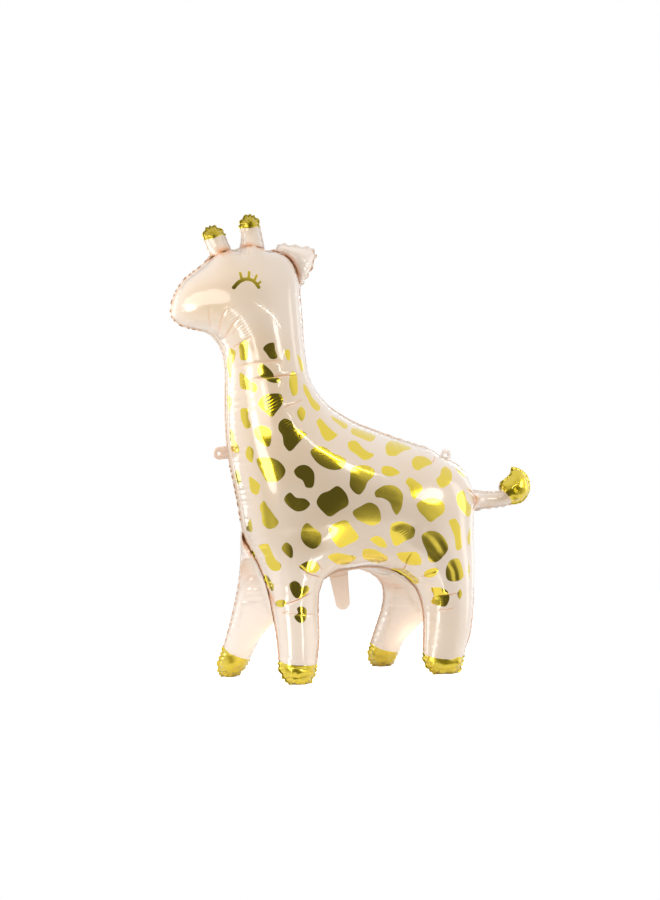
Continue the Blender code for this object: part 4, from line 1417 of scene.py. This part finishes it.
def valve_material(ripple):
    """Thin satin film with a faint drawn grain."""
    material, nodes, shader = new_material("valve_film")
    place = nodes.add("ShaderNodeTexCoord").outputs["Object"]
    cloud = nodes.clouds(place, VALVE_CLOUD_SCALE)
    colour = nodes.mix(nodes.number("MULTIPLY", cloud.outputs["Fac"], 0.3), VALVE_FILM, CREAM)
    colour = nodes.mix(nodes.attribute("painted_shade_and_weld"), colour, SHADE_AND_WELD_BROWN)
    nodes.link(colour, shader.inputs["Base Color"])
    shader.inputs["Roughness"].default_value = VALVE_ROUGHNESS
    shader.inputs["Coat Weight"].default_value = VALVE_VARNISH
    film_bump(nodes, shader, place, ripple, VALVE_LINE_PITCH, VALVE_LINE_SHARE, VALVE_PEEL)
    return material


def make_valve():
    """The filling valve: two thin films welded along their edges, with a soft channel between them."""
    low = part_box("filling_valve")[0]
    solid = np.array([v.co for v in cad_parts["filling_valve"].data.vertices])
    tops = np.unique(np.round(solid[solid[:, 2] > low[2] + 0.7 * VALVE_LENGTH][:, [0, 2]], 5), axis=0)
    u, v = np.meshgrid(np.linspace(0.0, 1.0, VALVE_COLUMNS), np.linspace(0.0, 1.0, VALVE_ROWS))
    top_x = tops[0, 0] + u * (tops[-1, 0] - tops[0, 0])
    top_z = np.interp(top_x, tops[:, 0], tops[:, 1])
    radius = VALVE_END_WIDTH / 2
    turn = np.pi * (1.0 + u)
    end_x = (tops[0, 0] + tops[-1, 0]) / 2 + VALVE_LEAN + radius * np.cos(turn)
    end_z = low[2] + radius + radius * np.sin(turn)
    x, z = top_x + v * (end_x - top_x), top_z + v * (end_z - top_z)
    edge = np.minimum(np.minimum(u, 1.0 - u) * VALVE_END_WIDTH, (1.0 - v) * VALVE_LENGTH)
    channel = smooth_step((edge - VALVE_WELD) / 0.004) * (0.75 + 0.25 * np.sin(2 * np.pi * v * 2.5))
    thickness = VALVE_THICKNESS * (0.35 + 1.3 * channel)
    curl = VALVE_CURL * (v**2 * np.sin(np.pi * u) - 0.4 * np.sin(2 * np.pi * v + 2.0 * u))
    front = np.stack([x, curl - thickness / 2, z], axis=-1).reshape(-1, 3)
    back = np.stack([x, curl + thickness / 2, z], axis=-1).reshape(-1, 3)
    count = len(front)
    index = np.arange(count).reshape(VALVE_ROWS, VALVE_COLUMNS)
    quads = np.stack([index[:-1, :-1], index[1:, :-1], index[1:, 1:], index[:-1, 1:]], axis=-1)
    quads = quads.reshape(-1, 4)
    ring = np.concatenate([index[0, :-1], index[:-1, -1], index[-1, :0:-1], index[:0:-1, 0]])
    faces = [tuple(q) for q in quads] + [tuple(q[::-1] + count) for q in quads]
    faces += [(a, b, b + count, a + count) for a, b in zip(ring, np.roll(ring, -1))]
    mesh = bpy.data.meshes.new("valve_tongue")
    mesh.from_pydata(np.concatenate([front, back]).tolist(), [], faces)
    shape = bmesh.new()
    shape.from_mesh(mesh)
    bmesh.ops.recalc_face_normals(shape, faces=shape.faces)
    shape.to_mesh(mesh)
    shape.free()
    line = 0.35 * np.exp(-(((v - 0.13) / 0.02) ** 2)) + 0.25 * np.exp(-((edge / 0.001) ** 2))
    add_attribute(mesh, "painted_shade_and_weld", np.tile(line.ravel(), 2))
    return mesh


def make_floor():
    """A plain pale floor."""
    mesh = bpy.data.meshes.new("floor")
    sides = ((-FLOOR_LEFT, -FLOOR_FRONT), (FLOOR_RIGHT, -FLOOR_FRONT),
             (FLOOR_RIGHT, FLOOR_BACK), (-FLOOR_LEFT, FLOOR_BACK))
    mesh.from_pydata([(x, y, FLOOR_LEVEL) for x, y in sides], [], [(0, 1, 2, 3)])
    material, nodes, shader = new_material("pale_floor")
    shader.inputs["Base Color"].default_value = FLOOR_GREY
    shader.inputs["Roughness"].default_value = FLOOR_ROUGHNESS
    seen = nodes.add("ShaderNodeLightPath").outputs["Is Camera Ray"]
    nodes.link(nodes.mix(seen, BLACK, WHITE), shader.inputs["Emission Color"])
    shader.inputs["Emission Strength"].default_value = FLOOR_GLOW
    mesh.materials.append(material)
    floor = bpy.data.objects.new("floor", mesh)
    bpy.context.scene.collection.objects.link(floor)


def make_world():
    """A white studio with a cloudy dark patch behind the camera."""
    world = bpy.data.worlds.new("studio")
    world.use_nodes = True
    tree = world.node_tree
    nodes = Nodes(tree)
    background = tree.nodes["Background"]
    light_path = nodes.add("ShaderNodeLightPath")
    place = nodes.add("ShaderNodeTexCoord").outputs["Generated"]
    split = nodes.add("ShaderNodeSeparateXYZ")
    nodes.link(place, split.inputs[0])
    wide, high = DARK_HALF_SIZE
    half_width = nodes.ramp(split.outputs["Y"], -0.1, 0.1, wide, DARK_BACK_SHARE * wide)
    across = nodes.number("SUBTRACT", split.outputs["X"], DARK_CENTRE[0])
    across = nodes.number("DIVIDE", across, half_width)
    height = nodes.number("SUBTRACT", split.outputs["Z"], DARK_CENTRE[1])
    height = nodes.number("DIVIDE", height, high)
    spread = nodes.number("ADD", nodes.number("MULTIPLY", across, across),
                          nodes.number("MULTIPLY", height, height))
    clouds = nodes.clouds(place, ROOM_CLOUDS)
    uneven = nodes.number("MULTIPLY", nodes.number("SUBTRACT", clouds.outputs["Fac"], 0.5), ROOM_CLOUD_DEPTH)
    outside = nodes.ramp(nodes.number("ADD", spread, uneven), *DARK_EDGES, DARK_LEVEL, BRIGHT_LEVEL)
    seen = nodes.mix(light_path.outputs["Is Camera Ray"], outside, WHITE)
    nodes.link(seen, background.inputs["Color"])
    bpy.context.scene.world = world
    bpy.context.scene.view_settings.view_transform = "Standard"


def soft_box(name, aim, azimuth, elevation, distance, width, height, brightness, turn):
    """A lit panel that the glossy skin mirrors; azimuth 0 is in front and positive to the right."""
    a, e = math.radians(azimuth), math.radians(elevation)
    away = Vector((math.sin(a) * math.cos(e), -math.cos(a) * math.cos(e), math.sin(e)))
    data = bpy.data.lights.new(name, "AREA")
    data.shape = "ELLIPSE"
    data.size = width
    data.size_y = height
    data.energy = brightness * math.pi * math.pi / 4 * width * height
    box = bpy.data.objects.new(name, data)
    facing = (-away).to_track_quat("-Z", "Y").to_matrix().to_4x4()
    spin = Matrix.Rotation(math.radians(turn), 4, "Z")
    box.matrix_world = Matrix.Translation(Vector(aim) + distance * away) @ facing @ spin
    box.visible_camera = False
    bpy.context.scene.collection.objects.link(box)


def make_lights():
    """Panels for the highlights, front and back, and soft light that the skin doesn't mirror."""
    for name, aim, azimuth, elevation, distance, width, height, brightness, turn in SOFT_BOXES:
        soft_box(name, aim, azimuth, elevation, distance, width, height, brightness, turn)
        behind = (aim[0], -aim[1], aim[2])
        soft_box(name + "_back", behind, 180 - TWIN_TURN * azimuth, elevation, distance, width, height,
                 TWIN_SHARE * brightness, -turn)
    data = bpy.data.lights.new("even_light", "SUN")
    data.energy = EVEN_LIGHT
    data.angle = math.radians(EVEN_LIGHT_SPREAD)
    even = bpy.data.objects.new("even_light", data)
    even.matrix_world = Vector(EVEN_LIGHT_WAY).to_track_quat("-Z", "Y").to_matrix().to_4x4()
    lights = [even]
    for place in LEG_GLOWS:
        data = bpy.data.lights.new("leg_glow", "POINT")
        data.energy = LEG_GLOW_POWER
        data.shadow_soft_size = LEG_GLOW_SIZE
        data.color = LEG_GLOW_COLOUR
        glow = bpy.data.objects.new("leg_glow", data)
        glow.location = place
        glow.visible_camera = False
        lights.append(glow)
    for light in lights:
        light.visible_glossy = False
        bpy.context.scene.collection.objects.link(light)


make_camera()
make_world()
make_lights()
make_floor()
film_ripple = film_ripple_group()
finish_piece("balloon_skin", make_skin(), skin_material(film_ripple), "balloon_envelope")
finish_piece("valve_tongue", make_valve(), valve_material(film_ripple), "filling_valve")
